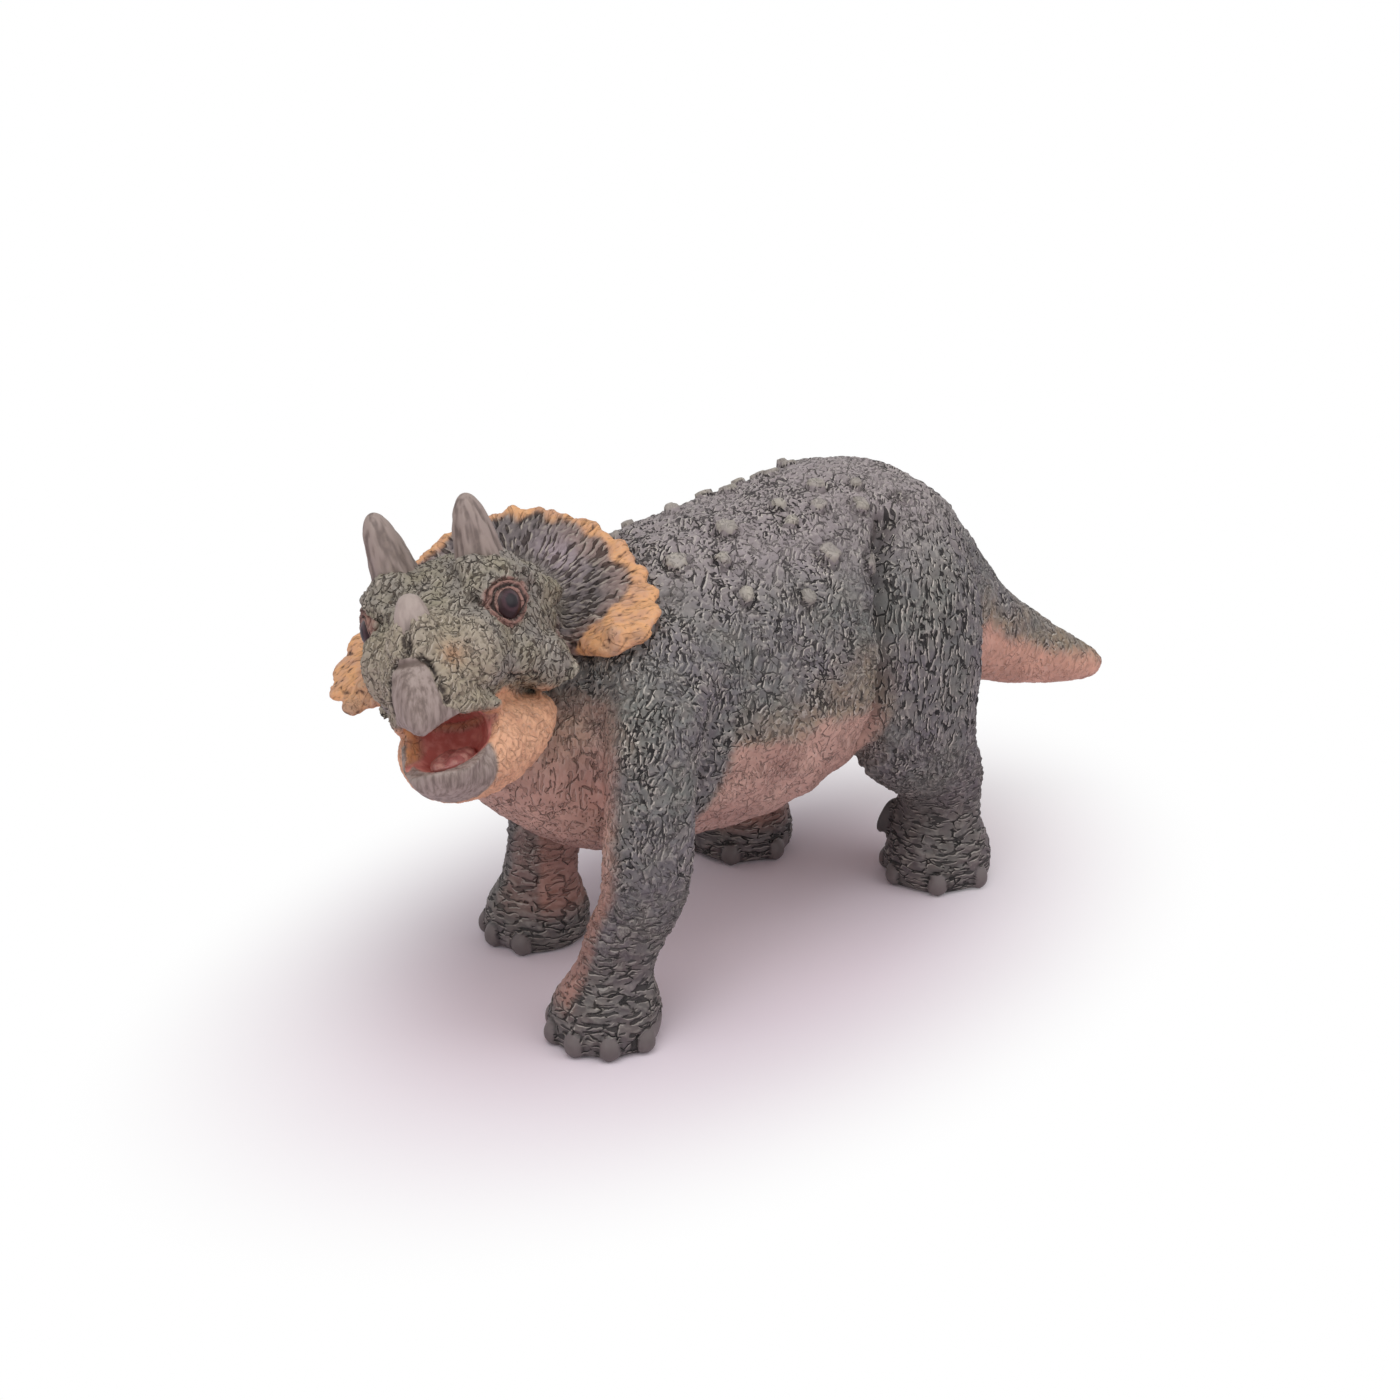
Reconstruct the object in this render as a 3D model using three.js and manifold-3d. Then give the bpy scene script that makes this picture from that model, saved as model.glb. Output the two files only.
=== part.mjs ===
// A young horned dinosaur as a solid vinyl toy figure, in millimetres, +Z up.
// It walks along -Y with its left side towards +X, its mouth open and its head turned and tilted to its left.
// Each moulding plugs into its neighbour and is glued there: torso, tail, four legs, head, lower jaw,
// tongue and three horns. Nothing moves.

import * as THREE from "three";
import { mergeVertices } from "three/addons/utils/BufferGeometryUtils.js";
import Module from "manifold-3d";

const wasm = await Module();
wasm.setup();

// Driving dimensions.
const bodyLength = 98.5; // neck stub to tail tip
const bodyWidth = 34;
const hipHeight = 52.5;
const frontFootRadius = 6.1;
const hindFootRadius = 6.4;
const frontLegHeight = 45;
const hindLegHeight = 49.5;
const headLength = 30;
const headWidth = 19;
const headHeight = 17;
const jawLength = 21;
const frillReach = 18.4;
const frillThickness = 2.2;
const frillLobeDepth = 0.7;
const toeRadius = 2.1;
const nailRadius = 1.25;
const nailHeight = 3.2;
const eyeRadius = 2.2;
const browHornLength = 9.4;
const browHornRadius = 3;
const noseHornLength = 5.8;
const noseHornRadius = 2.5;
const tongueLength = 8.4;
const foldPitch = 6; // coarse folds of the hide, crest to crest
const foldHeight = 0.6;
const knobRadius = 1.1; // pale knobs on the back
const knobHeight = 0.5;
const dewclawLength = 5.6;
const dewclawRadius = 1.1;

// Fits of the glued joints.
const glueGap = 0.3;
const legSeatShare = 4 / 17; // of the body's width, from the middle plane to the flat on which a leg is glued
const legSeat = bodyWidth * legSeatShare;
const pegRadius = 2.2;
const pegLength = 4.5;
const tailPegRadius = 2.8;
const tailPegRoot = 1;
const overrun = 60;

const deg = THREE.MathUtils.degToRad;
const at = (x, y, z) => new THREE.Vector3(x, y, z);
const up = at(0, 1, 0);

// Smooth values between the rows of a table whose first column is the place along.
function between(rows) {
  const places = rows.map((row) => row[0]);
  const values = rows.flatMap((row) => row.slice(1));
  const cubic = new THREE.CubicInterpolant(places, values, rows[0].length - 1);
  return (place) => [...cubic.evaluate(place)];
}

function bare(geometry) {
  geometry.deleteAttribute("normal");
  geometry.deleteAttribute("uv");
  return mergeVertices(geometry);
}

// A three.js geometry as a solid that can be joined and cut.
function solid(geometry, matrix = new THREE.Matrix4()) {
  const closed = bare(geometry.clone().applyMatrix4(matrix));
  return new wasm.Manifold(
    new wasm.Mesh({
      numProp: 3,
      vertProperties: new Float32Array(closed.attributes.position.array),
      triVerts: new Uint32Array(closed.index.array),
    }),
  );
}

function part(name, made, color, roughness) {
  const mesh = made.getMesh();
  const geometry = new THREE.BufferGeometry();
  geometry.setAttribute("position", new THREE.BufferAttribute(mesh.vertProperties, 3));
  geometry.setIndex(new THREE.BufferAttribute(mesh.triVerts, 1));
  geometry.computeVertexNormals();
  const piece = new THREE.Mesh(geometry, new THREE.MeshStandardMaterial({ color, roughness, metalness: 0 }));
  piece.name = name;
  return piece;
}

// A closed tube of skin. place(along, angle, out) puts each point; out is 1 on the skin and 0 on the axis.
function skin(steps, sides, place) {
  const tube = bare(new THREE.CylinderGeometry(1, 1, 1, sides, steps));
  const points = tube.getAttribute("position");
  for (let i = 0; i < points.count; i++) {
    const [x, y, z] = [points.getX(i), points.getY(i), points.getZ(i)];
    const put = place(y + 1 / 2, Math.atan2(x, z), Math.hypot(x, z));
    points.setXYZ(i, put.x, put.y, put.z);
  }
  return solid(tube);
}

function ball(centre, radii, sides, tilt = 0) {
  const turn = new THREE.Quaternion().setFromEuler(new THREE.Euler(0, tilt, 0));
  const matrix = new THREE.Matrix4().compose(centre, turn, radii);
  return solid(new THREE.SphereGeometry(1, sides, Math.round((sides * 3) / 4)), matrix);
}

function block(low, high) {
  const size = high.clone().sub(low);
  const middle = low.clone().add(high).divideScalar(2);
  return solid(new THREE.BoxGeometry(size.x, size.y, size.z), new THREE.Matrix4().setPosition(middle));
}

function peg(from, along, radius, length) {
  const turn = new THREE.Quaternion().setFromUnitVectors(up, along);
  const middle = from.clone().addScaledVector(along, length / 2);
  const round = new THREE.CylinderGeometry(radius, radius, length, 16);
  return solid(round, new THREE.Matrix4().compose(middle, turn, at(1, 1, 1)));
}

// Body and tail, one flowing skin from the neck stub to the tail's tip.
// Rows: along the body; sideways and half width as shares of its width; top and bottom as shares of hip height.
const neckFrontShare = -0.386;
const tailRootShare = 0.737;
const bodyShares = [
  [0.0, -0.12, 0.14, 0.64, 0.53],
  [0.04, -0.115, 0.23, 0.7, 0.45],
  [0.09, -0.1, 0.315, 0.77, 0.37],
  [0.16, -0.055, 0.41, 0.865, 0.305],
  [0.21, -0.045, 0.45, 0.93, 0.293],
  [0.26, -0.035, 0.475, 0.965, 0.29],
  [0.36, -0.015, 0.5, 0.985, 0.285],
  [0.465, -0.01, 0.475, 1.0, 0.33],
  [0.555, -0.01, 0.41, 1.012, 0.41],
  [0.635, -0.005, 0.345, 0.975, 0.445],
  [0.695, 0.0, 0.29, 0.895, 0.44],
  [0.745, 0.005, 0.24, 0.79, 0.412],
  [0.81, 0.025, 0.185, 0.65, 0.375],
  [0.87, 0.06, 0.145, 0.545, 0.343],
  [0.93, 0.112, 0.106, 0.46, 0.322],
  [0.975, 0.155, 0.07, 0.405, 0.318],
  [0.996, 0.178, 0.035, 0.375, 0.33],
  [1.0, 0.182, 0.01, 0.365, 0.35],
];
const bodyAt = between(bodyShares);

function bodyMiddle(share) {
  const [sideways, , top, bottom] = bodyAt(share);
  return at(sideways * bodyWidth, (neckFrontShare + share) * bodyLength, ((top + bottom) / 2) * hipHeight);
}

// Crests and hollows by turns, along a skin and around it.
const fold = (step, side) => (foldHeight / 2) * Math.cos(Math.PI * step) * Math.cos(Math.PI * side);

// Where the torso's hide is folded. Rows: along the body; how far down from the top, in half turns.
const foldShares = [
  [0.0, 0.0],
  [0.09, 0.2],
  [0.2, 0.24],
  [0.29, 0.9],
  [0.37, 1.2],
  [0.43, 0.9],
  [0.5, 0.22],
  [0.66, 0.18],
  [0.737, 0.1],
];
const foldAt = between(foldShares);
const foldFadeShare = 0.1;

function bodyFold(share, angle, step, sides) {
  const inside = (foldAt(share)[0] - Math.abs(angle) / Math.PI) / foldFadeShare;
  return THREE.MathUtils.clamp(inside, 0, 1) * fold(step, (angle / Math.PI / 2) * sides);
}

function bodySkin(from, to, steps, sides, grow = 0, folded = false) {
  return skin(steps, sides, (along, angle, out) => {
    const share = from + (to - from) * along;
    const [, halfWidth, top, bottom] = bodyAt(share);
    const raised = grow + (folded ? bodyFold(share, angle, along * steps, sides) : 0);
    const wide = halfWidth * bodyWidth + raised;
    const high = ((top - bottom) / 2) * hipHeight + raised;
    return bodyMiddle(share).add(at(Math.sin(angle) * wide * out, 0, Math.cos(angle) * high * out));
  });
}

const torsoSteps = 2 * Math.round((tailRootShare * bodyLength) / foldPitch);
const torsoSkin = (grow = 0) => bodySkin(0, tailRootShare, torsoSteps, 28, grow, true);

// Knobs on both sides of the back: along the body, and down from the top in half turns.
const knobShares = [
  [0.286, 0.25],
  [0.357, 0.3],
  [0.418, 0.235],
  [0.503, 0.165],
  [0.402, 0.135],
  [0.453, 0.12],
  [0.287, 0.16],
  [0.324, 0.085],
  [0.411, 0.07],
  [0.242, 0.11],
  [0.207, 0.195],
  [0.526, 0.11],
  [0.478, 0.065],
  [0.473, 0.3],
];

function knobs() {
  return knobShares.flatMap(([share, down]) =>
    [1, -1].map((side) => {
      const [, halfWidth, top, bottom] = bodyAt(share);
      const angle = side * down * Math.PI;
      const high = ((top - bottom) / 2) * hipHeight;
      const onSkin = at(Math.sin(angle) * halfWidth * bodyWidth, 0, Math.cos(angle) * high);
      const place = bodyMiddle(share).add(onSkin);
      return ball(place, at(knobHeight, knobRadius, knobRadius), 6, angle - Math.PI / 2);
    }),
  );
}

// Legs. Rows: up the leg; lean from foot to root; bow; half width and half length as shares of the foot's radius.
const frontLegShares = [
  [0.0, 0.0, 0.0, 0.92, 0.92],
  [0.05, 0.0, 0.0, 1.0, 1.0],
  [0.09, 0.0, 0.0, 1.0, 0.98],
  [0.135, 0.02, 0.05, 0.84, 0.84],
  [0.18, 0.06, 0.12, 0.72, 0.75],
  [0.27, 0.165, 0.3, 0.71, 0.75],
  [0.365, 0.33, 0.5, 0.71, 0.77],
  [0.455, 0.36, 0.54, 0.73, 0.8],
  [0.635, 0.42, 0.51, 0.74, 0.8],
  [0.77, 0.53, 0.46, 0.75, 0.9],
  [0.865, 0.68, 0.36, 0.74, 0.95],
  [0.95, 0.9, 0.1, 0.62, 0.85],
  [1.0, 1.0, 0.0, 0.4, 0.55],
];
const hindLegShares = [
  [0.0, 0.0, 0.0, 0.92, 0.95],
  [0.04, 0.0, 0.0, 1.0, 1.02],
  [0.08, 0.0, 0.0, 1.0, 1.02],
  [0.15, 0.0, 0.0, 0.82, 0.86],
  [0.24, 0.04, 0.05, 0.75, 0.82],
  [0.31, 0.42, 0.23, 0.79, 1.15],
  [0.385, 0.86, 0.42, 0.84, 1.32],
  [0.465, 0.98, 0.56, 0.86, 1.28],
  [0.565, 1.0, 0.66, 0.87, 1.22],
  [0.71, 1.0, 0.66, 0.89, 1.2],
  [0.81, 1.0, 0.56, 0.87, 1.15],
  [0.91, 1.0, 0.3, 0.77, 0.98],
  [1.0, 1.0, 0.0, 0.4, 0.45],
];
const front = { rows: between(frontLegShares), radius: frontFootRadius, height: frontLegHeight };
const hind = { rows: between(hindLegShares), radius: hindFootRadius, height: hindLegHeight };
// Foot, root and bow of each leg, sideways as shares of the body's width and along as shares of its length.
const leftFrontShares = { foot: [0.31, -0.315], root: [0.22, -0.188], bow: [0.18, 0] };
const rightFrontShares = { foot: [-0.39, -0.208], root: [-0.22, -0.183], bow: [-0.16, 0.056] };
const leftHindShares = { foot: [0.26, 0.263], root: [0.22, 0.186], bow: [0.195, 0] };
const rightHindShares = { foot: [-0.42, 0.145], root: [-0.23, 0.183], bow: [-0.176, 0] };
// Toes: how far each points round from straight ahead, in degrees towards the figure's left.
const legs = [
  { name: "front_leg_left", side: 1, ...front, shares: leftFrontShares, toes: [-62, -24, 14, 52, 94] },
  { name: "front_leg_right", side: -1, ...front, shares: rightFrontShares, toes: [-84, -45, -10, 32] },
  { name: "hind_leg_left", side: 1, ...hind, shares: leftHindShares, toes: [-60, -14, 42, 96] },
  { name: "hind_leg_right", side: -1, ...hind, shares: rightHindShares, toes: [-80, -25, 35, 90] },
];
const legPegShare = 0.68;
const toeOutShare = 0.63;
const nailOutShare = 0.86;

const onGround = ([sideways, along]) => at(sideways * bodyWidth, along * bodyLength, 0);

function legMiddle(leg, share) {
  const [lean, bow] = leg.rows(share);
  const foot = onGround(leg.shares.foot);
  return foot.lerp(onGround(leg.shares.root), lean).addScaledVector(onGround(leg.shares.bow), bow);
}

// The shins are folded; the feet, and the thighs where they lie against the body, are not.
const legFoldShares = [
  [0.0, 0],
  [0.09, 0],
  [0.16, 1],
  [0.4, 1],
  [0.5, 0],
  [1.0, 0],
];
const legFoldAt = between(legFoldShares);
const legSteps = 20;
const legSides = 16;

function legSkin(leg, grow = 0) {
  return skin(legSteps, legSides, (along, angle, out) => {
    const [, , halfWidth, halfLength] = leg.rows(along);
    const folds = THREE.MathUtils.clamp(legFoldAt(along)[0], 0, 1) * fold(along * legSteps, (angle / Math.PI / 2) * legSides);
    const wide = halfWidth * leg.radius + folds + grow;
    const long = halfLength * leg.radius + folds + grow;
    const high = along * (leg.height + grow);
    return legMiddle(leg, along).add(at(Math.sin(angle) * wide * out, -Math.cos(angle) * long * out, high));
  });
}

// Toes round the front of the foot, each with a blunt nail.
function toes(leg) {
  const foot = onGround(leg.shares.foot);
  const nailSize = at(nailRadius, nailRadius, (nailHeight * 2) / 3);
  return leg.toes.map((turn) => {
    const out = at(Math.sin(deg(turn)), -Math.cos(deg(turn)), 0);
    const toe = foot.clone().addScaledVector(out, leg.radius * toeOutShare);
    const nail = foot.clone().addScaledVector(out, leg.radius * nailOutShare);
    return ball(toe.setZ(nailHeight / 2), at(toeRadius, toeRadius, toeRadius), 8).add(
      ball(nail.setZ(nailHeight / 3), nailSize, 8),
    );
  });
}

// A dewclaw lies along the front inner side of the left hind leg.
const dewclawShares = { place: [-0.76, -0.52], height: 0.15 };

function dewclaw(leg) {
  const [sideways, along] = dewclawShares.place;
  const out = at(sideways * leg.radius, along * leg.radius, dewclawShares.height * leg.height);
  const size = at(dewclawRadius, dewclawRadius, dewclawLength / 2);
  return ball(onGround(leg.shares.foot).add(out), size, 8);
}

// The peg of a leg runs from the leg's middle through its seat into the body.
function legPeg(leg, grow = 0) {
  const from = legMiddle(leg, legPegShare).setZ(leg.height * legPegShare);
  const reach = leg.side * from.x - legSeat + pegLength;
  return peg(from, at(-leg.side, 0, 0), pegRadius + grow, reach + grow);
}

const aboveGround = block(at(-overrun, -2 * overrun, 0), at(overrun, 2 * overrun, 2 * overrun));
const withinSeats = (half) => block(at(-half, -2 * overrun, -overrun), at(half, 2 * overrun, 2 * overrun));
const torsoRoom = torsoSkin(glueGap);
const bodyCore = torsoRoom.intersect(withinSeats(legSeat));

// A leg keeps what lies outside the body or beyond its seat; the body keeps the rest, a glue gap away.
function legSolid(leg, keepOut) {
  const claws = leg.name === "hind_leg_left" ? [...toes(leg), dewclaw(leg)] : toes(leg);
  const made = claws.reduce((all, claw) => all.add(claw), legSkin(leg).subtract(bodyCore));
  return made.intersect(aboveGround).subtract(keepOut).add(legPeg(leg));
}

function legPocket(leg) {
  return legSkin(leg, glueGap).subtract(withinSeats(legSeat - glueGap)).add(legPeg(leg, glueGap));
}

function tailPeg(grow = 0) {
  const forwards = at(0, -1, 0);
  const from = bodyMiddle(tailRootShare).addScaledVector(forwards, -tailPegRoot);
  return peg(from, forwards, tailPegRadius + grow, tailPegRoot + pegLength + grow);
}

function torsoSolid() {
  const hide = knobs().reduce((made, knob) => made.add(knob), torsoSkin());
  return legs.reduce((made, leg) => made.subtract(legPocket(leg)), hide).subtract(tailPeg(glueGap));
}

function tailSolid() {
  return bodySkin(tailRootShare + glueGap / bodyLength, 1, 12, 20).add(tailPeg());
}

// Head, in its own frame: origin midway between the eyes, looking along -Y.
const headPlaceShares = [-0.053, -0.41, 0.878];
const headPitch = deg(-15);
const headRoll = deg(-17);
const headYaw = deg(31);
const headGroup = new THREE.Group();
headGroup.position.set(
  headPlaceShares[0] * bodyWidth,
  headPlaceShares[1] * bodyLength,
  headPlaceShares[2] * hipHeight,
);
headGroup.rotation.set(headPitch, headRoll, headYaw, "ZXY");
headGroup.updateMatrix();
const headToBody = headGroup.matrix.elements;
const bodyToHead = headGroup.matrix.clone().invert().elements;

const inHead = ([x, y, z], side = 1) => at(side * x * headWidth, y * headLength, z * headHeight);
const grown = (radii, grow) => radii.clone().addScalar(grow);

// A form lofted along the head. Rows: along; half width as a share of head width; top and bottom of head height.
function headSkin(rowsAt, from, length, steps, grow = 0) {
  return skin(steps, 20, (along, angle, out) => {
    const [halfWidth, top, bottom] = rowsAt(along);
    const wide = halfWidth * headWidth + grow;
    const high = ((top - bottom) / 2) * headHeight + grow;
    const middle = ((top + bottom) / 2) * headHeight;
    return at(Math.sin(angle) * wide * out, from + along * length, middle + Math.cos(angle) * high * out);
  });
}

const snoutTipShare = -0.533;
const skullShares = [
  [0.0, 0.03, -0.22, -0.5],
  [0.035, 0.11, -0.11, -0.53],
  [0.1, 0.19, 0.01, -0.52],
  [0.2, 0.265, 0.13, -0.515],
  [0.333, 0.345, 0.27, -0.515],
  [0.467, 0.415, 0.42, -0.515],
  [0.633, 0.475, 0.48, -0.52],
  [0.8, 0.46, 0.46, -0.52],
  [1.0, 0.36, 0.35, -0.46],
];
const skullAt = between(skullShares);

// Frill: a plate that fans out behind the skull and leans back, its rim scalloped.
// Rows: angle from straight up, in half turns; reach as a share of the frill's reach.
const frillShares = [
  [0.0, 0.77],
  [0.16, 0.755],
  [0.3, 0.78],
  [0.44, 0.87],
  [0.55, 1.0],
  [0.62, 0.97],
  [0.655, 0.83],
  [0.68, 0.6],
  [0.72, 0.44],
  [1.0, 0.38],
];
const frillAt = between(frillShares);
const frillRootShares = [0.03, 0.433, 0];
const frillLean = deg(35);
const frillLobes = 26;
const frillEdgePower = 0.45;
const tipBack = at(1, 0, 0);

function frill(grow = 0) {
  const root = inHead(frillRootShares);
  const lens = bare(new THREE.SphereGeometry(1, 2 * frillLobes, 10).rotateX(Math.PI / 2));
  const points = lens.getAttribute("position");
  for (let i = 0; i < points.count; i++) {
    const [x, y, z] = [points.getX(i), points.getY(i), points.getZ(i)];
    const angle = Math.atan2(x, y);
    const lobe = Math.abs(Math.sin((angle * frillLobes) / 2)) * frillLobeDepth;
    const reach = (frillReach * frillAt(Math.abs(angle) / Math.PI)[0] + lobe + grow) * Math.hypot(x, y);
    const deep = -Math.sign(z) * Math.abs(z) ** frillEdgePower * (frillThickness / 2 + grow);
    const leaning = at(Math.sin(angle) * reach, deep, Math.cos(angle) * reach).applyAxisAngle(tipBack, -frillLean);
    points.setXYZ(i, root.x + leaning.x, root.y + leaning.y, root.z + leaning.z);
  }
  return solid(lens);
}

// Lumps on both sides of the skull: place, then half sizes, as shares of the head's width, length and height.
const browShares = { place: [0.242, -0.027, 0.33], size: [0.153, 0.133, 0.176] };
const cheekShares = { place: [0.42, 0.1, -0.282], size: [0.142, 0.133, 0.188] };
const spikeShares = { place: [0.505, 0.147, -0.365], size: [0.1, 0.047, 0.07] };
const eyePlaceShares = [0.36, -0.097, 0.118];
const spikeTilt = deg(25);

function headShape(grow = 0) {
  let made = headSkin(skullAt, snoutTipShare * headLength, headLength, 16, grow).add(frill(grow));
  for (const side of [1, -1]) {
    for (const lump of [browShares, cheekShares, spikeShares]) {
      const tilt = lump === spikeShares ? side * spikeTilt : 0;
      made = made.add(ball(inHead(lump.place, side), grown(inHead(lump.size), grow), 10, tilt));
    }
    made = made.add(ball(inHead(eyePlaceShares, side), at(eyeRadius, eyeRadius, eyeRadius).addScalar(grow), 10));
  }
  return made;
}

// A blunt horn with curved sides, its root sunk into the skull.
const browRootShares = [0.242, 0.007, 0.34];
const browTiltShares = [0.09, -0.33, 0.94];
const noseRootShares = [0, -0.337, 0.012];
const noseTiltShares = [0, -0.24, 0.97];
const hornTaperShare = 0.6;
const hornSteps = 7;
const browHorn = { length: browHornLength, radius: browHornRadius, root: browRootShares, tilt: browTiltShares };
const horns = {
  brow_horn_left: { ...browHorn, side: 1 },
  brow_horn_right: { ...browHorn, side: -1 },
  nose_horn: { length: noseHornLength, radius: noseHornRadius, root: noseRootShares, tilt: noseTiltShares, side: 1 },
};

function horn({ length, radius, root, tilt, side }, grow = 0) {
  const along = at(side * tilt[0], tilt[1], tilt[2]).normalize();
  const profile = [new THREE.Vector2(0, -grow), new THREE.Vector2(radius + grow, -grow)];
  for (let i = 1; i <= hornSteps; i++) {
    const rise = Math.sin(((i / hornSteps) * Math.PI) / 2);
    const wide = radius * (1 - hornTaperShare * rise) * Math.sqrt(1 - rise ** 8);
    profile.push(new THREE.Vector2(i < hornSteps ? wide + grow : 0, rise * length + grow));
  }
  const turn = new THREE.Quaternion().setFromUnitVectors(up, along);
  const place = new THREE.Matrix4().compose(inHead(root, side), turn, at(1, 1, 1));
  return solid(new THREE.LatheGeometry(profile, 14), place);
}

const neckPocket = torsoRoom.transform(bodyToHead);

function headSolid() {
  const shape = headShape().subtract(neckPocket);
  return Object.values(horns).reduce((made, each) => made.subtract(horn(each, glueGap)), shape);
}

// Lower jaw, dropped open, with a scoop that holds the tongue.
const jawTipShare = -0.493;
const jawShares = [
  [0.0, 0.03, -0.74, -0.8],
  [0.03, 0.1, -0.73, -0.86],
  [0.16, 0.18, -0.68, -0.93],
  [0.3, 0.25, -0.59, -0.97],
  [0.34, 0.3, -0.45, -0.98],
  [0.42, 0.35, -0.4, -0.99],
  [0.6, 0.415, -0.4, -0.98],
  [0.8, 0.445, -0.4, -0.92],
  [1.0, 0.42, -0.4, -0.78],
];
const jawAt = between(jawShares);
const scoopShares = { place: [0, -0.283, -0.547], size: [0.22, 0.2, 0.235] };
const tonguePlaceShares = [0, -0.267, -0.753];
const tongueWideShare = 0.57;
const tongueThickShare = 0.21;

function tongueShape(grow = 0) {
  const half = tongueLength / 2;
  const size = at(half * tongueWideShare, half, half * tongueThickShare);
  return ball(inHead(tonguePlaceShares), grown(size, grow), 10);
}

function jawSolid() {
  const scoop = ball(inHead(scoopShares.place), inHead(scoopShares.size), 14);
  const shape = headSkin(jawAt, jawTipShare * headLength, jawLength, 14).subtract(scoop);
  return shape.subtract(tongueShape(glueGap)).subtract(neckPocket).subtract(headShape(glueGap));
}

const figure = new THREE.Group();
const frillRoom = frill(glueGap).transform(headToBody);
figure.add(part("torso", torsoSolid(), "#5d625f", 0.65));
figure.add(part("tail", tailSolid(), "#6d625a", 0.65));
for (const leg of legs) figure.add(part(leg.name, legSolid(leg, frillRoom), "#545a58", 0.65));
headGroup.add(part("head", headSolid(), "#68695c", 0.65));
headGroup.add(part("lower_jaw", jawSolid(), "#b5835a", 0.65));
headGroup.add(part("tongue", tongueShape(), "#7a3034", 0.5));
for (const [name, each] of Object.entries(horns)) headGroup.add(part(name, horn(each), "#9a928c", 0.55));
figure.add(headGroup);

// The origin is under the middle of the figure's box, on the surface that it stands on.
const box = new THREE.Box3().setFromObject(figure, true);
const middle = box.getCenter(new THREE.Vector3());
figure.position.set(-middle.x, -middle.y, -box.min.z);

export default figure;
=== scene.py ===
import math
from itertools import product

import bmesh
import bpy
import numpy as np
from mathutils import Matrix, Vector
from mathutils.kdtree import KDTree


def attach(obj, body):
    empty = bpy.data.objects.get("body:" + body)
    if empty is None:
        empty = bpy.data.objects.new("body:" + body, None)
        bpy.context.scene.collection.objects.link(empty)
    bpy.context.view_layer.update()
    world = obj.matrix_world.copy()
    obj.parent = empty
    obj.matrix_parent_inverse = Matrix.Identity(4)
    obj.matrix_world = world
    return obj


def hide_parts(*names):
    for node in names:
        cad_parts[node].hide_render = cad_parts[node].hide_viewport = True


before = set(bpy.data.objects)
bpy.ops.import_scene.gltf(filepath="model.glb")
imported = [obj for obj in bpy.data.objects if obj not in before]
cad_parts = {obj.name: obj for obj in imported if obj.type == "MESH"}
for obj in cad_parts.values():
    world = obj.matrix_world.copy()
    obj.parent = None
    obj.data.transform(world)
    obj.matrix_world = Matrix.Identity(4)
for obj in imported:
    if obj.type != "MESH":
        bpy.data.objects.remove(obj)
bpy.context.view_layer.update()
scene = bpy.context.scene
print("frame loaded,", len(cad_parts), "nodes")

# Pieces are modelled in millimetres and brought to metres when they are finished.
toMillimetres = Matrix.Scale(1000, 4)
toMetres = Matrix.Scale(0.001, 4)


# ---------- view and light

view = {
    "eye": (200.9, -199.9, 140.5),
    "target": (-4.2, -3.1, 26.0),
    "lens": 66.4,
    "sensor": 36.0,
}
stage = {
    "floorSize": 3000,
    "floorTint": (250, 237, 247),
    "shadeMiddle": (2.4, -10.5),
    "shadeReach": (51.3, 83),
    "shadeTurn": 0.114,
    "shadeFrom": 0.36,
    "shadeTo": 1.02,
    "worldStrength": 0.36,
    # place, size and power
    "lamps": {
        "key": ((60, -150, 400), 300, 0.46),
        "fill": ((120, -330, 230), 300, 0.23),
        "side": ((260, 90, 250), 320, 0.28),
    },
}


def aim(obj, place, target):
    obj.location = Vector(place) * 0.001
    towards = Vector(target) - Vector(place)
    obj.rotation_euler = towards.to_track_quat("-Z", "Y").to_euler()
    scene.collection.objects.link(obj)


def makeCamera():
    lens = bpy.data.cameras.new("camera")
    lens.lens = view["lens"]
    lens.sensor_width = view["sensor"]
    lens.clip_start = 0.01
    camera = bpy.data.objects.new("camera", lens)
    aim(camera, view["eye"], view["target"])
    scene.camera = camera


def makeLamp(name, place, size, power):
    lamp = bpy.data.lights.new(name, "AREA")
    lamp.shape = "DISK"
    lamp.size = size * 0.001
    lamp.energy = power
    aim(bpy.data.objects.new(name, lamp), place, view["target"])


# ---------- shader nodes written as sums


class Wire:
    # a socket whose sums add Math nodes
    def __init__(self, nodes, socket):
        self.nodes, self.socket = nodes, socket

    def maths(self, operation, *values):
        return self.nodes.node("Math", dict(enumerate(values)), {"operation": operation})

    def __add__(self, other):
        return self.maths("ADD", self, other)

    def __sub__(self, other):
        return self.maths("SUBTRACT", self, other)

    def __rsub__(self, other):
        return self.maths("SUBTRACT", other, self)

    def __mul__(self, other):
        return self.maths("MULTIPLY", self, other)

    __radd__ = __add__
    __rmul__ = __mul__

    def most(self, other):
        return self.maths("MAXIMUM", self, other)

    def ramp(self, low, high):
        sockets = {"Value": self, "From Min": low, "From Max": high}
        if low > high:
            sockets.update({"From Min": high, "From Max": low, "To Min": 1.0, "To Max": 0.0})
        return self.nodes.node("MapRange", sockets, {"interpolation_type": "SMOOTHSTEP"})


class Nodes:
    # the nodes of a material or of the world
    def __init__(self, owner):
        owner.use_nodes = True
        self.tree = owner.node_tree

    def node(self, kind, sockets=None, settings=None, out=0):
        made = self.tree.nodes.new("ShaderNode" + kind)
        for name, value in (settings or {}).items():
            setattr(made, name, value)
        for name, value in (sockets or {}).items():
            self.feed(made.inputs[name], value)
        return Wire(self, made.outputs[out])

    def feed(self, socket, value):
        if isinstance(value, Wire):
            self.tree.links.new(value.socket, socket)
        else:
            socket.default_value = value


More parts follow.
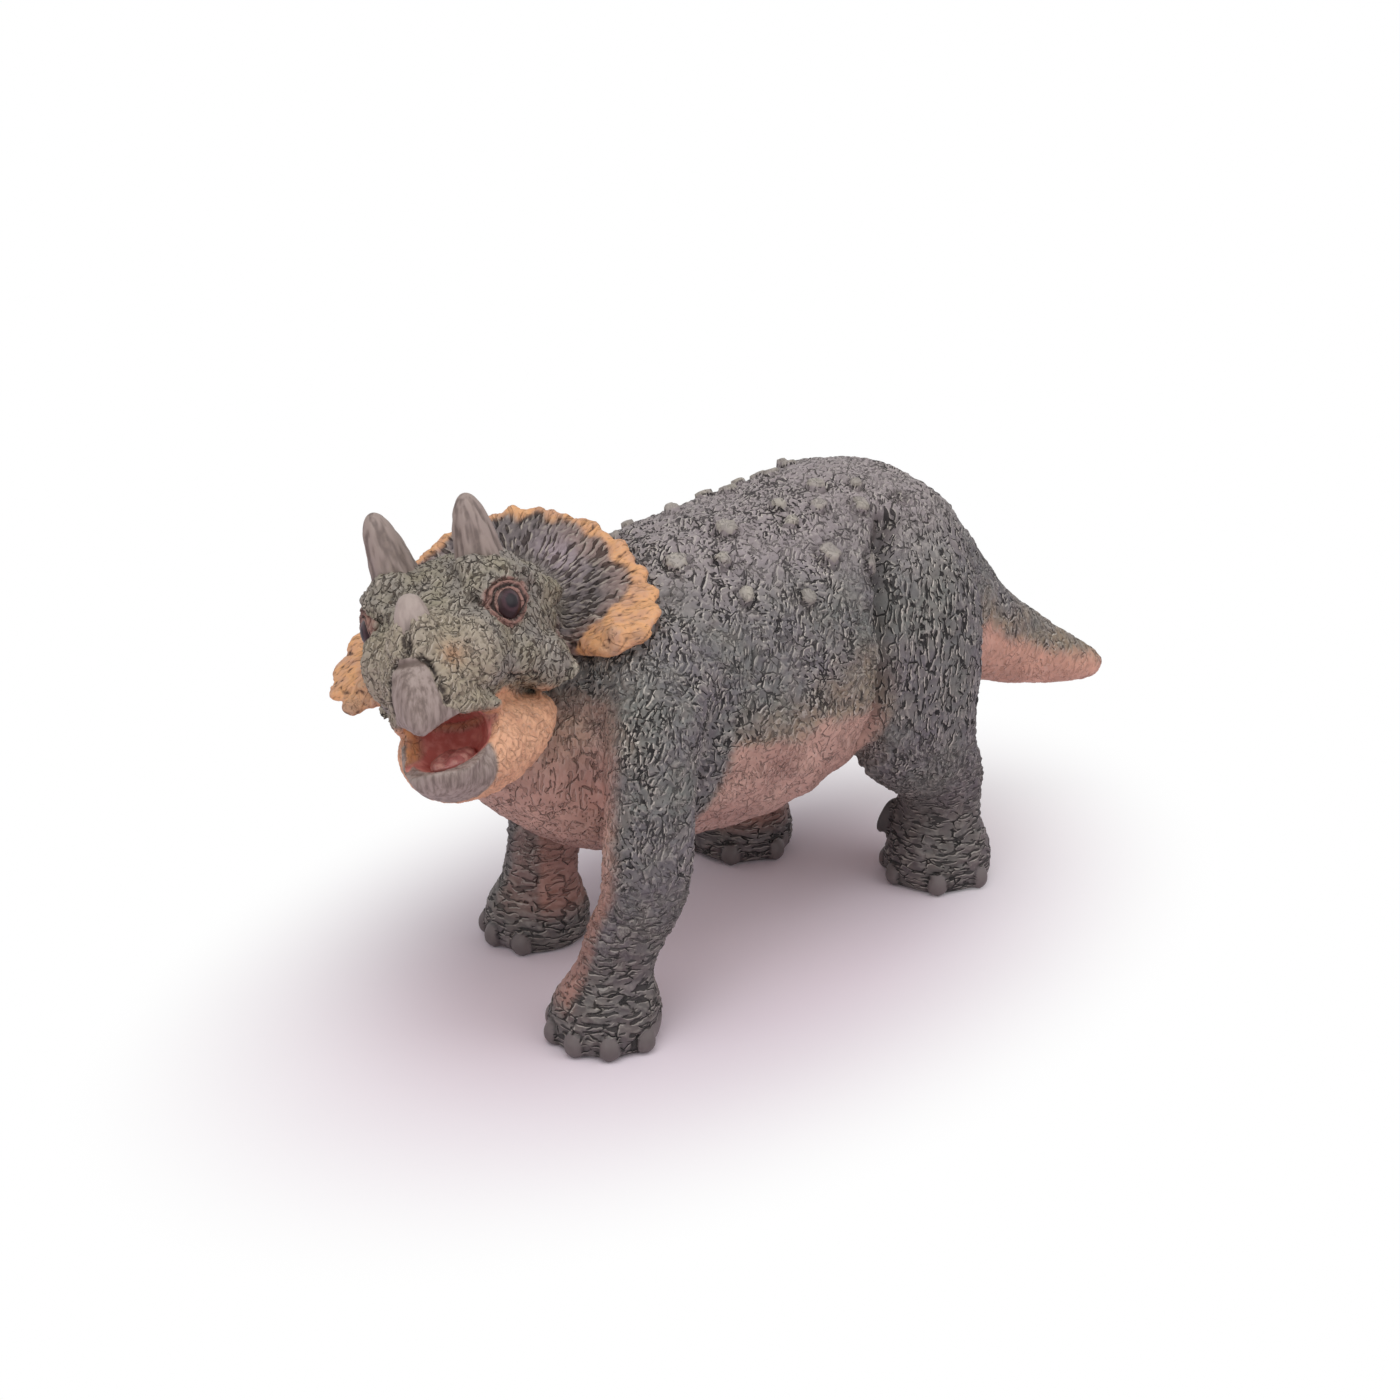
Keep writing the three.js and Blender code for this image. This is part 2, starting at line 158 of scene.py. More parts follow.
class Paint(Nodes):
    # a material, and the noise and lines that it is painted with, their sizes in millimetres
    def __init__(self, name):
        self.material = bpy.data.materials.new(name)
        super().__init__(self.material)
        self.shader = self.tree.nodes["Principled BSDF"]
        self.place = self.node("TexCoord", out="Object")

    def attributes(self, names):
        return [self.node("Attribute", settings={"attribute_name": name}, out="Fac") for name in names]

    def axis(self, name):
        return self.node("SeparateXYZ", {"Vector": self.place}, out=name)

    def vector(self, operation, *values, out=0):
        return self.node("VectorMath", dict(enumerate(values)), {"operation": operation}, out)

    def texture(self, place, scale, start, detail, roughness=0.5, out=0):
        spot = self.node("Mapping", {"Vector": place, "Scale": scale, "Location": start})
        sockets = {"Vector": spot, "Scale": 1.0, "Detail": detail, "Roughness": roughness}
        return self.node("TexNoise", sockets, out=out)

    def noise(self, size, detail=3, roughness=0.55, shift=0.0, stretch=(1, 1, 1)):
        scale = tuple(1 / (size * 0.001 * s) for s in stretch)
        return self.texture(self.place, scale, (shift,) * 3, detail, roughness)

    def drifted(self, size, share):
        # the place pushed about by noise, so that lines drawn from it wind
        push = self.texture(self.place, (625 / size,) * 3, (0, 0, 0), 2.0, out="Color")
        push = self.vector("SUBTRACT", push, (0.5,) * 3)
        return self.vector("ADD", self.place, self.vector("MULTIPLY", push, (size * share * 0.001,) * 3))

    def scored(self, place, width, length, turn, seed, low, high=0.67):
        # short tapered strokes, all one way: 1 in a stroke and 0 between them
        spot = self.node("Mapping", {"Vector": place, "Rotation": turn})
        scale = (1000 / width, 1000 / width, 1000 / (width * length))
        return self.texture(spot, scale, (seed, seed * 0.7, seed * 1.3), 0.0).ramp(low, high)

    def net(self, place, size, width, stretch, seed):
        # thin cracks between scattered plates
        scale = tuple(1000 / (size * s) for s in stretch)
        spot = self.node("Mapping", {"Vector": place, "Scale": scale, "Location": (seed,) * 3})
        settings = {"feature": "DISTANCE_TO_EDGE"}
        gap = self.node("TexVoronoi", {"Vector": spot, "Scale": 1.0}, settings, "Distance")
        return gap.ramp(width, 0.0)

    def shifted(self, place, amount):
        # the place moved towards the light, for the painted highlights on the lit lips of the cracks; a
        # negative amount moves it away, for painted shade on the far lips
        return self.vector("ADD", place, tuple(amount * 0.001 * share for share in (-0.5, -0.5, 0.7)))

    def amount(self, share, first, second):
        return first + (second - first) * share

    def mix(self, share, first, second, blend="MIX"):
        sockets = {"Factor": share, 6: first, 7: second}
        return self.node("Mix", sockets, {"data_type": "RGBA", "blend_type": blend}, 2)

    def darken(self, share, base, tone):
        return self.mix(share, base, self.mix(1.0, base, tone, "MULTIPLY"))

    def bump(self, height, depth):
        return self.node("Bump", {"Height": height, "Strength": 1.0, "Distance": depth * 0.001})

    def finish(self, **sockets):
        for name, value in sockets.items():
            self.feed(self.shader.inputs[name.replace("_", " ")], value)
        return self.material


def tint(*levels):
    # a colour, 0 to 255
    return tuple(((c / 255 + 0.055) / 1.055) ** 2.4 for c in levels) + (1.0,)


# ---------- clay: lumps joined, remeshed and smoothed


def nodeClay(names, grow, place=Matrix()):
    # CAD solids grown outwards a little
    clay = bmesh.new()
    for name in names:
        clay.from_mesh(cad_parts[name].data)
    bmesh.ops.transform(clay, matrix=place @ toMillimetres, verts=clay.verts)
    bmesh.ops.remove_doubles(clay, verts=clay.verts, dist=0.0005)
    clay.normal_update()
    for vert in clay.verts:
        vert.co += vert.normal * grow
    return clay


def ball(clay, centre, size, turn=(0, 0, 0), detail=3):
    place = Matrix.Translation(centre)
    for angle, axis in zip(turn, "XYZ"):
        place = place @ Matrix.Rotation(math.radians(angle), 4, axis)
    place = place @ Matrix.Diagonal((*size, 1))
    bmesh.ops.create_icosphere(clay, subdivisions=detail, radius=1, matrix=place)


def cord(clay, points, radii):
    # a run of round lumps joined by cones
    for point, radius in zip(points, radii):
        ball(clay, point, (radius,) * 3, detail=2)
    for start, end, thick, thin in zip(points, points[1:], radii, radii[1:]):
        along = Vector(end) - Vector(start)
        place = Matrix.Translation((Vector(start) + Vector(end)) / 2)
        place = place @ along.to_track_quat("Z", "Y").to_matrix().to_4x4()
        sizes = {"radius1": thick, "radius2": thin, "depth": along.length}
        bmesh.ops.create_cone(clay, cap_ends=True, segments=16, matrix=place, **sizes)


def prism(clay, outline, left, right):
    # an outline in y and z drawn out along x
    face = clay.faces.new([clay.verts.new((left, y, z)) for y, z in outline])
    made = bmesh.ops.extrude_face_region(clay, geom=[face])
    ends = [v for v in made["geom"] if isinstance(v, bmesh.types.BMVert)]
    bmesh.ops.translate(clay, vec=(right - left, 0, 0), verts=ends)
    bmesh.ops.recalc_face_normals(clay, faces=clay.faces)


def makeObject(name, clay):
    mesh = bpy.data.meshes.new(name)
    clay.to_mesh(mesh)
    clay.free()
    obj = bpy.data.objects.new(name, mesh)
    scene.collection.objects.link(obj)
    return obj


def settle(obj):
    # live modifiers become the mesh
    bpy.context.view_layer.update()
    seen = obj.evaluated_get(bpy.context.evaluated_depsgraph_get())
    mesh = bpy.data.meshes.new_from_object(seen)
    obj.modifiers.clear()
    old = obj.data
    obj.data = mesh
    bpy.data.meshes.remove(old)


def moulded(name, clay, voxel, times=0):
    # clay made into one skin of even grain, and smoothed
    obj = makeObject(name, clay)
    live = obj.modifiers.new("Remesh", "REMESH")
    live.mode = "VOXEL"
    live.voxel_size = voxel
    live.use_smooth_shade = True
    settle(obj)
    if times:
        relax(obj.data, times)
    return obj


def reopened(obj):
    # an object's skin as clay again
    clay = bmesh.new()
    clay.from_mesh(obj.data)
    bpy.data.objects.remove(obj)
    return clay


def prismCutter(name, outline, half):
    clay = bmesh.new()
    prism(clay, outline, -half, half)
    return makeObject(name, clay)


def cut(obj, cutter, operation):
    live = obj.modifiers.new("Cut", "BOOLEAN")
    live.solver = "MANIFOLD"
    live.operation = operation
    live.object = cutter
    live.material_mode = "TRANSFER"
    settle(obj)


def coat(obj, material):
    obj.data.materials.clear()
    obj.data.materials.append(material)


def fetch(items, key, width=1, kind=np.int32):
    values = np.empty(len(items) * width, kind)
    items.foreach_get(key, values)
    return values


def readPoints(mesh):
    spots = fetch(mesh.vertices, "co", 3, np.float32)
    outward = fetch(mesh.vertex_normals, "vector", 3, np.float32)
    return spots.reshape(-1, 3).astype(float), outward.reshape(-1, 3).astype(float)


def writePoints(mesh, spots):
    mesh.vertices.foreach_set("co", spots.astype(np.float32).ravel())
    mesh.update()


def relax(mesh, times, share=1.0):
    # share says how much each point gives way, all over or point by point
    spots, _ = readPoints(mesh)
    first, second = fetch(mesh.edges, "vertices", 2).reshape(-1, 2).T
    count = len(spots)
    near = np.maximum(np.bincount(first, minlength=count) + np.bincount(second, minlength=count), 1)
    for _ in range(times):
        for axis in range(3):
            line = spots[:, axis]
            total = np.bincount(first, line[second], count) + np.bincount(second, line[first], count)
            spots[:, axis] = line + (total / near - line) * 0.6 * share
    writePoints(mesh, spots)


def store(mesh, **marks):
    # what the paint reads at each point, 0 to 1
    for name, values in marks.items():
        made = mesh.attributes.new(name, "FLOAT", "POINT")
        made.data.foreach_set("value", np.clip(values, 0, 1).astype(np.float32))


# ---------- shapes and noise for the skin


def step(values, low, high):
    share = np.clip((values - low) / (high - low), 0, 1)
    return share * share * (3 - 2 * share)


def hill(gap, width):
    return np.exp(-((gap / width) ** 2))


def norms(ways):
    return np.linalg.norm(ways, axis=1)


def pull(share, way):
    return share[:, None] * np.array(way)


class Noise:
    def __init__(self, seed):
        draw = np.random.default_rng(seed)
        self.order = draw.permutation(256)
        slopes = draw.normal(size=(256, 3))
        self.slopes = slopes / norms(slopes)[:, None]

    def pick(self, cell):
        order = self.order
        return order[(order[(order[cell[:, 0] & 255] + cell[:, 1]) & 255] + cell[:, 2]) & 255]

    def wave(self, spots):
        # smooth noise, about -1 to 1
        cell = np.floor(spots).astype(np.int64)
        inside = spots - cell
        ease = inside**3 * (inside * (inside * 6 - 15) + 10)
        total = np.zeros(len(spots))
        for corner in product((0, 1), repeat=3):
            share = np.prod(np.where(corner, ease, 1 - ease), axis=1)
            total += share * ((inside - corner) * self.slopes[self.pick(cell + np.array(corner))]).sum(1)
        return total * 1.7

    def cells(self, spots):
        # distance to the nearest and the next nearest of scattered points
        cell = np.floor(spots).astype(np.int64)
        near = np.full(len(spots), 9.0)
        later = np.full(len(spots), 9.0)
        for corner in product((-1, 0, 1), repeat=3):
            there = cell + np.array(corner)
            centre = there + 0.5 + 0.45 * self.slopes[self.pick(there)]
            gap = ((centre - spots) ** 2).sum(1)
            later = np.minimum(later, np.maximum(near, gap))
            near = np.minimum(near, gap)
        return np.sqrt(near), np.sqrt(later)


def warped(spots, size, seed, share=0.5):
    drift = np.stack([Noise(seed + axis).wave(spots / (size * 2)) for axis in range(3)], axis=1)
    return spots + drift * size * share


def strokes(spots, outward, size, seed, main, spread, width, length):
    # short folds scattered over the skin, each lying roughly along main: 0 between them to 1 on top
    noise = Noise(seed)
    scaled = spots / size
    cell = np.floor(scaled).astype(np.int64)
    best = np.zeros(len(spots))
    for corner in product((-1, 0, 1), repeat=3):
        there = cell + np.array(corner)
        index = noise.pick(there)
        gap = scaled - there - 0.5 - 0.5 * noise.slopes[index]
        gap -= outward * (gap * outward).sum(1)[:, None] * 0.85
        line = main + spread * noise.slopes[(index + 91) & 255]
        line = line - outward * (line * outward).sum(1)[:, None]
        line /= np.maximum(norms(line), 1e-6)[:, None]
        along = (gap * line).sum(1)
        across = (gap * gap).sum(1) - along * along
        best = np.maximum(best, np.exp(-across / width**2 - (along / length) ** 4))
    return best


def wrinkled(spots, outward, size, seed, main, spread):
    # leathery skin, 0 in cracks to 1 on ridges: lumps parted by cracks, with short folds over them
    moved = warped(spots, size, seed + 50)
    plates = 1 - np.exp(-np.abs(Noise(seed).wave(moved / size)) / 0.15)
    raised = strokes(moved, outward, size, seed + 2, main, spread, 0.2, 0.62)
    cracked = strokes(moved, outward, size * 1.1, seed + 4, main, spread, 0.12, 0.6)
    return np.clip(0.14 + 0.34 * plates + 0.62 * raised - 0.5 * cracked * (1 - raised), 0, 1.1)


# ---------- body: torso, four legs and tail from one skin

body = {
    "coarseVoxel": 0.45,
    "voxel": 0.3,
    "grow": 0.25,
    "reliefDepth": 0.5,
    "wrinkleSize": 1.25,
    # the fold between flank and haunch, down the left side
    "crease": [
        (11.8, 10.8, 49), (13.8, 8.4, 47), (15.9, 6.2, 43.9), (17.6, 4.8, 39.9), (18.4, 4.5, 35.3),
        (17.9, 4.2, 30), (15.8, 4.3, 25),
    ],
    "creaseDepth": 2.4,
    "swellHeight": 0.9,
    # twice the x of the body's middle plane
    "middle": 3.8,
    # lumps that join the shoulders and the hips to the legs: centre and size
    "joins": [
        ((8.3, -20.5, 38.5), (8, 11, 9)), ((-6.0, -20, 38.5), (8, 11, 9)),
        ((8.6, 16, 43), (7, 10, 9)), ((-4.2, 15.5, 43), (7, 10, 9)),
    ],
    # y, and the height up to which the skin is pink brown
    "bellyLine": [
        (-41, 36), (-33, 34), (-14, 30.3), (-5, 30.6), (1, 31.2), (6, 27.8), (12, 27), (20, 30), (31, 32),
        (36, 28), (45, 23.5), (55, 20),
    ],
    # by height, where the pink brown of the chest stops at the left front leg, across the photo's view
    "chestEdge": ((5, 8, 11, 14, 17, 38), (-19.2, -18.3, -17.4, -16.2, -14.6, -14.1)),
    # the tail's part of the skin, in y and z
    "tailCut": [(31.5, -10), (90, -10), (90, 80), (31.5, 80)],
}
# The middle line of each leg from the ground up, the middle of its upper end, and which way its nails
# point round from the front.
legs = {
    "front_leg_left": {
        "line": [(13.1, -34.1, 0), (15.9, -29.8, 17), (13.4, -24.1, 38)],
        "radius": 6.1, "top": (15.5, -22, 38), "nails": (-62, -24, 14, 52, 94),
    },
    "front_leg_right": {
        "line": [(-10.7, -23.6, 0), (-12.2, -19.9, 17), (-9.2, -19.6, 38)],
        "radius": 6.1, "top": (-13, -22, 38), "nails": (-84, -45, -10, 32),
    },
    "hind_leg_left": {
        "line": [(11.4, 22.8, 0), (13.0, 16.6, 19), (14.4, 15.3, 35)],
        "radius": 6.4, "top": (17, 15.5, 41), "nails": (-60, -14, 42, 96),
    },
    "hind_leg_right": {
        "line": [(-11.7, 11.2, 0), (-8.9, 14.4, 19), (-9.2, 15.0, 35)],
        "radius": 6.4, "top": (-13, 15.5, 41), "nails": (-80, -25, 35, 90),
    },
}
foot = {
    "nailOut": 1.0, "nailHeight": 1.35, "nailSize": (1.2, 0.9, 1.45),
    "toeOut": 0.76, "toeHeight": 2.0, "toeSize": (1.6, 2.0, 1.9),
}
dewclaw = {"place": (5.8, 19.3, 7.3), "size": (0.9, 1.25, 2.7), "turn": (-12, 14, 0)}
scutes = {
    "places": [
        (13.1, -12.9, 45.8), (15.5, -5.9, 44.4), (13.2, 0.1, 47.6), (9.9, 8.5, 50.5), (8.8, -1.5, 50.5),
        (8.3, 3.5, 51), (9.4, -12.8, 48.8), (6.2, -9.2, 50.4), (6.0, -0.6, 51.6), (10.7, 14.1, 49.5),
        (6.7, -17.2, 49), (9.8, -20.7, 45.5), (7.3, 10.7, 52), (5.5, 6, 52.2), (14.8, 5.5, 45.2),
    ],
    "radius": 0.98,
    "height": 0.75,
}


def distanceToLine(spots, line):
    best = np.full(len(spots), 1e9)
    for start, end in zip(line, line[1:]):
        start, end = np.array(start, float), np.array(end, float)
        along = end - start
        share = np.clip(((spots - start) @ along) / (along @ along), 0, 1)
        best = np.minimum(best, norms(spots - start - share[:, None] * along))
    return best


def legShare(spots, leg, outer, inner):
    # 1 near a leg's middle line, from outer to inner of its radii away
    return step(distanceToLine(spots, leg["line"]) / leg["radius"], outer, inner)


def nailPlaces(leg, out, height):
    x, y, _ = leg["line"][0]
    for angle in leg["nails"]:
        turn = math.radians(angle)
        across, ahead = math.sin(turn) * leg["radius"] * out, math.cos(turn) * leg["radius"] * out
        yield (x + across, y - ahead, height), angle


def bodyClay():
    clay = nodeClay(["torso", "tail", *legs], body["grow"])
    for centre, size in body["joins"]:
        ball(clay, centre, size)
    obj = moulded("body", clay, body["coarseVoxel"])
    spots, _ = readPoints(obj.data)
    gaps = [norms(spots - np.array(centre)) for centre, _ in body["joins"]]
    relax(obj.data, 60, 0.25 + 0.75 * step(np.min(gaps, axis=0), 15, 9))
    clay = reopened(obj)
    for leg in legs.values():
        toes = nailPlaces(leg, foot["toeOut"], foot["toeHeight"])
        nails = nailPlaces(leg, foot["nailOut"], foot["nailHeight"])
        for (toe, angle), (nail, _) in zip(toes, nails):
            ball(clay, toe, foot["toeSize"], (0, 0, angle))
            ball(clay, nail, foot["nailSize"], (0, 0, angle))
    ball(clay, dewclaw["place"], dewclaw["size"], dewclaw["turn"])
    return moulded("body", clay, body["voxel"], 4)


def scuteShares(spots):
    # the back's knobs, and the groove round each
    knob = np.zeros(len(spots))
    groove = np.zeros(len(spots))
    draw = np.random.default_rng(8)
    uneven = 1 + 0.3 * Noise(83).wave(spots / 0.8)
    for x, y, z in scutes["places"]:
        for across in (x, body["middle"] - x):
            gap = norms((spots - np.array((across, y, z))) * (1, 1, 0.7))
            gap = gap / (scutes["radius"] * draw.uniform(0.75, 1.25)) * uneven
            knob = np.maximum(knob, step(gap, 1.1, 0.85))
            groove = np.maximum(groove, hill(gap - 1.3, 0.24))
    return knob, groove


def sculptBody(obj):
    mesh = obj.data
    spots, outward = readPoints(mesh)
    x, y, z = spots.T
    flat = np.zeros(len(x))
    legNear = np.max([legShare(spots, leg, 1.5, 1.1) for leg in legs.values()], axis=0) * step(z, 30, 20)
    ankle = legNear * step(z, 15, 9)
    haunch = step(np.hypot(y - 17, (z - 35) * 0.8), 15, 9) * step(np.abs(x - 2.5), 8, 12)
    under, tan = underShare(spots, outward)
    tail = step(y, 28, 34)
    throat = step(y, -30, -36) * (1 - legNear)
    level = np.stack([outward[:, 1], -outward[:, 0], flat], axis=1)
    around = np.stack([outward[:, 2], flat, -outward[:, 0]], axis=1)
    main = np.array((0, 0.5, -0.4)) + pull(haunch, (0, 0, 1.6)) + pull(legNear, level + (0, 0, 0.5))
    main += pull(ankle, level) * 2.2 + pull(tail, around) * 0.8 + pull(throat, (0, 0.4, -1.2))
    relief = wrinkled(spots, outward, body["wrinkleSize"], 11, main, 0.85)
    phase = z * math.pi / 1.45 + Noise(70).wave(spots / 2.6) * 2.0
    rings = 1 - np.exp(-np.abs(np.sin(phase)) / 0.35) * step(Noise(71).wave(spots / 2), -0.6, 0)
    relief = relief * (1 - 0.5 * ankle) + 0.5 * ankle * rings
    depth = body["reliefDepth"] * (1 - 0.6 * under * (1 - legNear)) * (1 - 0.25 * tail)
    nailGap = nearestNail(spots)
    nail = step(nailGap, 1.05, 0.9)
    rim = hill(nailGap - 1.18, 0.16)
    scute, scuteRim = scuteShares(spots)
    side = np.where(x > body["middle"] / 2, x, body["middle"] - x)
    mirrored = np.stack([side, y, z], axis=1)
    creaseGap = distanceToLine(mirrored, body["crease"])
    crease = hill(creaseGap, 1.35)
    swell = hill(distanceToLine(mirrored, np.array(body["crease"]) + (0.3, 3.2, 0)), 2.6)
    calm = np.maximum(nail, scute * 0.8)
    height = depth * (relief - 0.5) * (1 - calm) * (1 - 0.6 * crease)
    height += scutes["height"] * scute - 0.25 * scuteRim - 0.15 * rim + 0.1 * nail
    height += body["swellHeight"] * swell - body["creaseDepth"] * crease
    height += Noise(80).wave(spots / 5) * 0.2 * (1 - legNear) - 0.45 * legNear * hill(z - 8.5, 3.5)
    spots += outward * (height * step(z, 0.15, 0.9))[:, None]
    spots[:, 2] = np.maximum(spots[:, 2], 0)
    writePoints(mesh, spots)
    # painted shade along the crease between flank and haunch, stored as fold with the grooves round knobs
    # and nails
    fold = hill(creaseGap, 1.25) * (0.8 + 0.3 * Noise(84).wave(spots / 2)) * (1 - legNear)
    byCrease = hill(creaseGap, 4) * (1 - legNear)
    # relief and fold darken the crease and the grooves round knobs and nails: painted shade
    store(
        mesh,
        relief=relief * (1 - calm) + 0.75 * calm - 0.5 * rim * (1 - nail) - 0.6 * crease - 0.5 * scuteRim,
        fold=np.max([fold, 0.75 * scuteRim * (1 - scute), 0.75 * rim * (1 - nail)], axis=0),
        under=under, tan=tan, nail=nail, scute=scute,
        upright=np.max([haunch, byCrease, under * step(y, -22, -28) * step(z, 14, 18)], axis=0),
        level=np.maximum(legNear * step(z, 22, 12) * 0.8, ankle),
    )
    print("body sculpted,", len(mesh.vertices), "points")


def underShare(spots, outward):
    # 1 where the skin is painted pink brown: belly, chest, under the tail and the legs' inner sides,
    # and how far the tan edge above it reaches
    x, y, z = spots.T
    line = np.interp(y, *np.array(body["bellyLine"]).T)
    drift = Noise(3).wave(spots / 7) * 1.6 + Noise(4).wave(spots / 2.2) * 0.9
    under = step(z + drift, line + 1.4, line - 1.4)
    tan = step(z + drift * 1.5, line + 6.5 + 4 * hill(y - 2, 6), line + 0.5)
    across = 0.69 * x + 0.72 * y
    mirrored = 0.69 * (body["middle"] - x) + 0.72 * y
    edge = np.interp(z, *body["chestEdge"]) + Noise(6).wave(spots / 2.5) * 0.4
    for name, leg in legs.items():
        near = legShare(spots, leg, *((1.8, 1.35) if name == "hind_leg_left" else (1.5, 1.15)))
        if name == "front_leg_left":
            inner = step(across - edge, 0.9, -0.7)
        elif name == "front_leg_right":
            inner = 0.4 + 0.6 * step(across + Noise(7).wave(spots / 2.5) * 0.5, -24.4, -23.2)
            inner = inner * step(outward[:, 0], -0.35, 0.1)
            inner += (step(mirrored - edge, 0.9, -0.7) - inner) * step(z, 17, 22)
        elif name == "hind_leg_left":
            inner = 0.25 * step(outward[:, 0], -0.4, -0.8)
        else:
            inner = outward[:, 0] * 0.95 - outward[:, 1] * 0.15 + Noise(5).wave(spots / 3) * 0.25
            inner = step(inner, 0.0, 0.4)
        inner = inner * step(z, 3.5, 6.5)
        under = under * (1 - near) + inner * near
        tan = tan * (1 - near)
    chest = step(np.maximum(across, mirrored) - edge, 1.2, -1.2) * step(z + drift, 39.5, 36.5)
    chest *= step(y, -20, -25) * (0.5 + 0.5 * step(z + drift, 36, 27))
    front = step(y, -22, -26) * step(z, 16, 19)
    return under * (1 - front) + chest * front, tan


def nearestNail(spots):
    # how far a point is from a nail, 1 at a nail's edge
    x, y, z = spots.T
    nearest = np.full(len(x), 1e9)
    for leg in legs.values():
        for (px, py, pz), angle in nailPlaces(leg, foot["nailOut"], foot["nailHeight"]):
            turn = math.radians(angle)
            across = (x - px) * math.cos(turn) + (y - py) * math.sin(turn)
            out = (x - px) * math.sin(turn) - (y - py) * math.cos(turn)
            gap = np.abs(across / 1.15) ** 2.6 + np.abs((z - pz) / 1.6) ** 2.6
            gap = np.sqrt(gap + (np.minimum(out + 0.3, 0) / 0.7) ** 2)
            nearest = np.minimum(nearest, gap)
    claw = norms((spots - np.array(dewclaw["place"])) / (1.35, 1.7, 3.1))
    return np.minimum(nearest, np.where(y + x < 26, claw, 9))


legCut = {"grow": 1.2, "voxel": 0.8, "footHeight": 3, "footSize": (9.5, 9.5, 9), "topSize": (7.5, 8.5, 10)}


def legCutter(name):
    clay = nodeClay([name], legCut["grow"])
    x, y, _ = legs[name]["line"][0]
    ball(clay, (x, y, legCut["footHeight"]), legCut["footSize"])
    ball(clay, legs[name]["top"], legCut["topSize"])
    return moulded(name + "_cutter", clay, legCut["voxel"])


def finishPiece(obj, name, material, nodes, whole=None):
    mesh = obj.data
    obj.name = mesh.name = name
    mesh.polygons.foreach_set("use_smooth", np.ones(len(mesh.polygons), bool))
    if whole:
        mendSeams(mesh, whole)
    mesh.transform(toMetres)
    coat(obj, material)
    mesh.polygons.foreach_set("material_index", np.zeros(len(mesh.polygons), np.int32))
    mesh.update()
    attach(obj, "root")
    if nodes:
        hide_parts(*nodes)
    print("piece", name, len(mesh.polygons), "faces")


class Whole:
    # the uncut skin, from which the points along a cut take their paint and shading
    def __init__(self, obj, names, place=Matrix()):
        spots, outward = readPoints(obj.data)
        self.outward = outward @ np.array(place.to_3x3()).T
        marks = obj.data.attributes
        self.values = {name: fetch(marks[name].data, "value", kind=np.float32) for name in names}
        self.tree = KDTree(len(spots))
        for index, spot in enumerate(spots):
            self.tree.insert(place @ Vector(spot), index)
        self.tree.balance()


def mendSeams(mesh, whole):
    inside = fetch(mesh.polygons, "material_index")
    sizes = fetch(mesh.polygons, "loop_total")
    corners = fetch(mesh.loops, "vertex_index")
    atCut = np.unique(corners[np.repeat(inside > 0, sizes)])
    spots, outward = readPoints(mesh)
    near = np.array([whole.tree.find(Vector(spots[index]))[1] for index in atCut], np.int64)
    outward[atCut] = whole.outward[near]
    for name, values in whole.values.items():
        data = mesh.attributes[name].data
        kept = fetch(data, "value", kind=np.float32)
        kept[atCut] = values[near]
        data.foreach_set("value", kept)
    mesh.normals_split_custom_set_from_vertices(outward)


# which faces are skin and which were made by a cut
skinSlot = bpy.data.materials.new("skin")
cutSlot = bpy.data.materials.new("cut")


def takePart(source, cutters, operation):
    obj = source.copy()
    obj.data = source.data.copy()
    scene.collection.objects.link(obj)
    for cutter in cutters:
        cut(obj, cutter, operation)
    return obj


bodyMarks = ("relief", "under", "tan", "nail", "scute", "upright", "level", "fold")


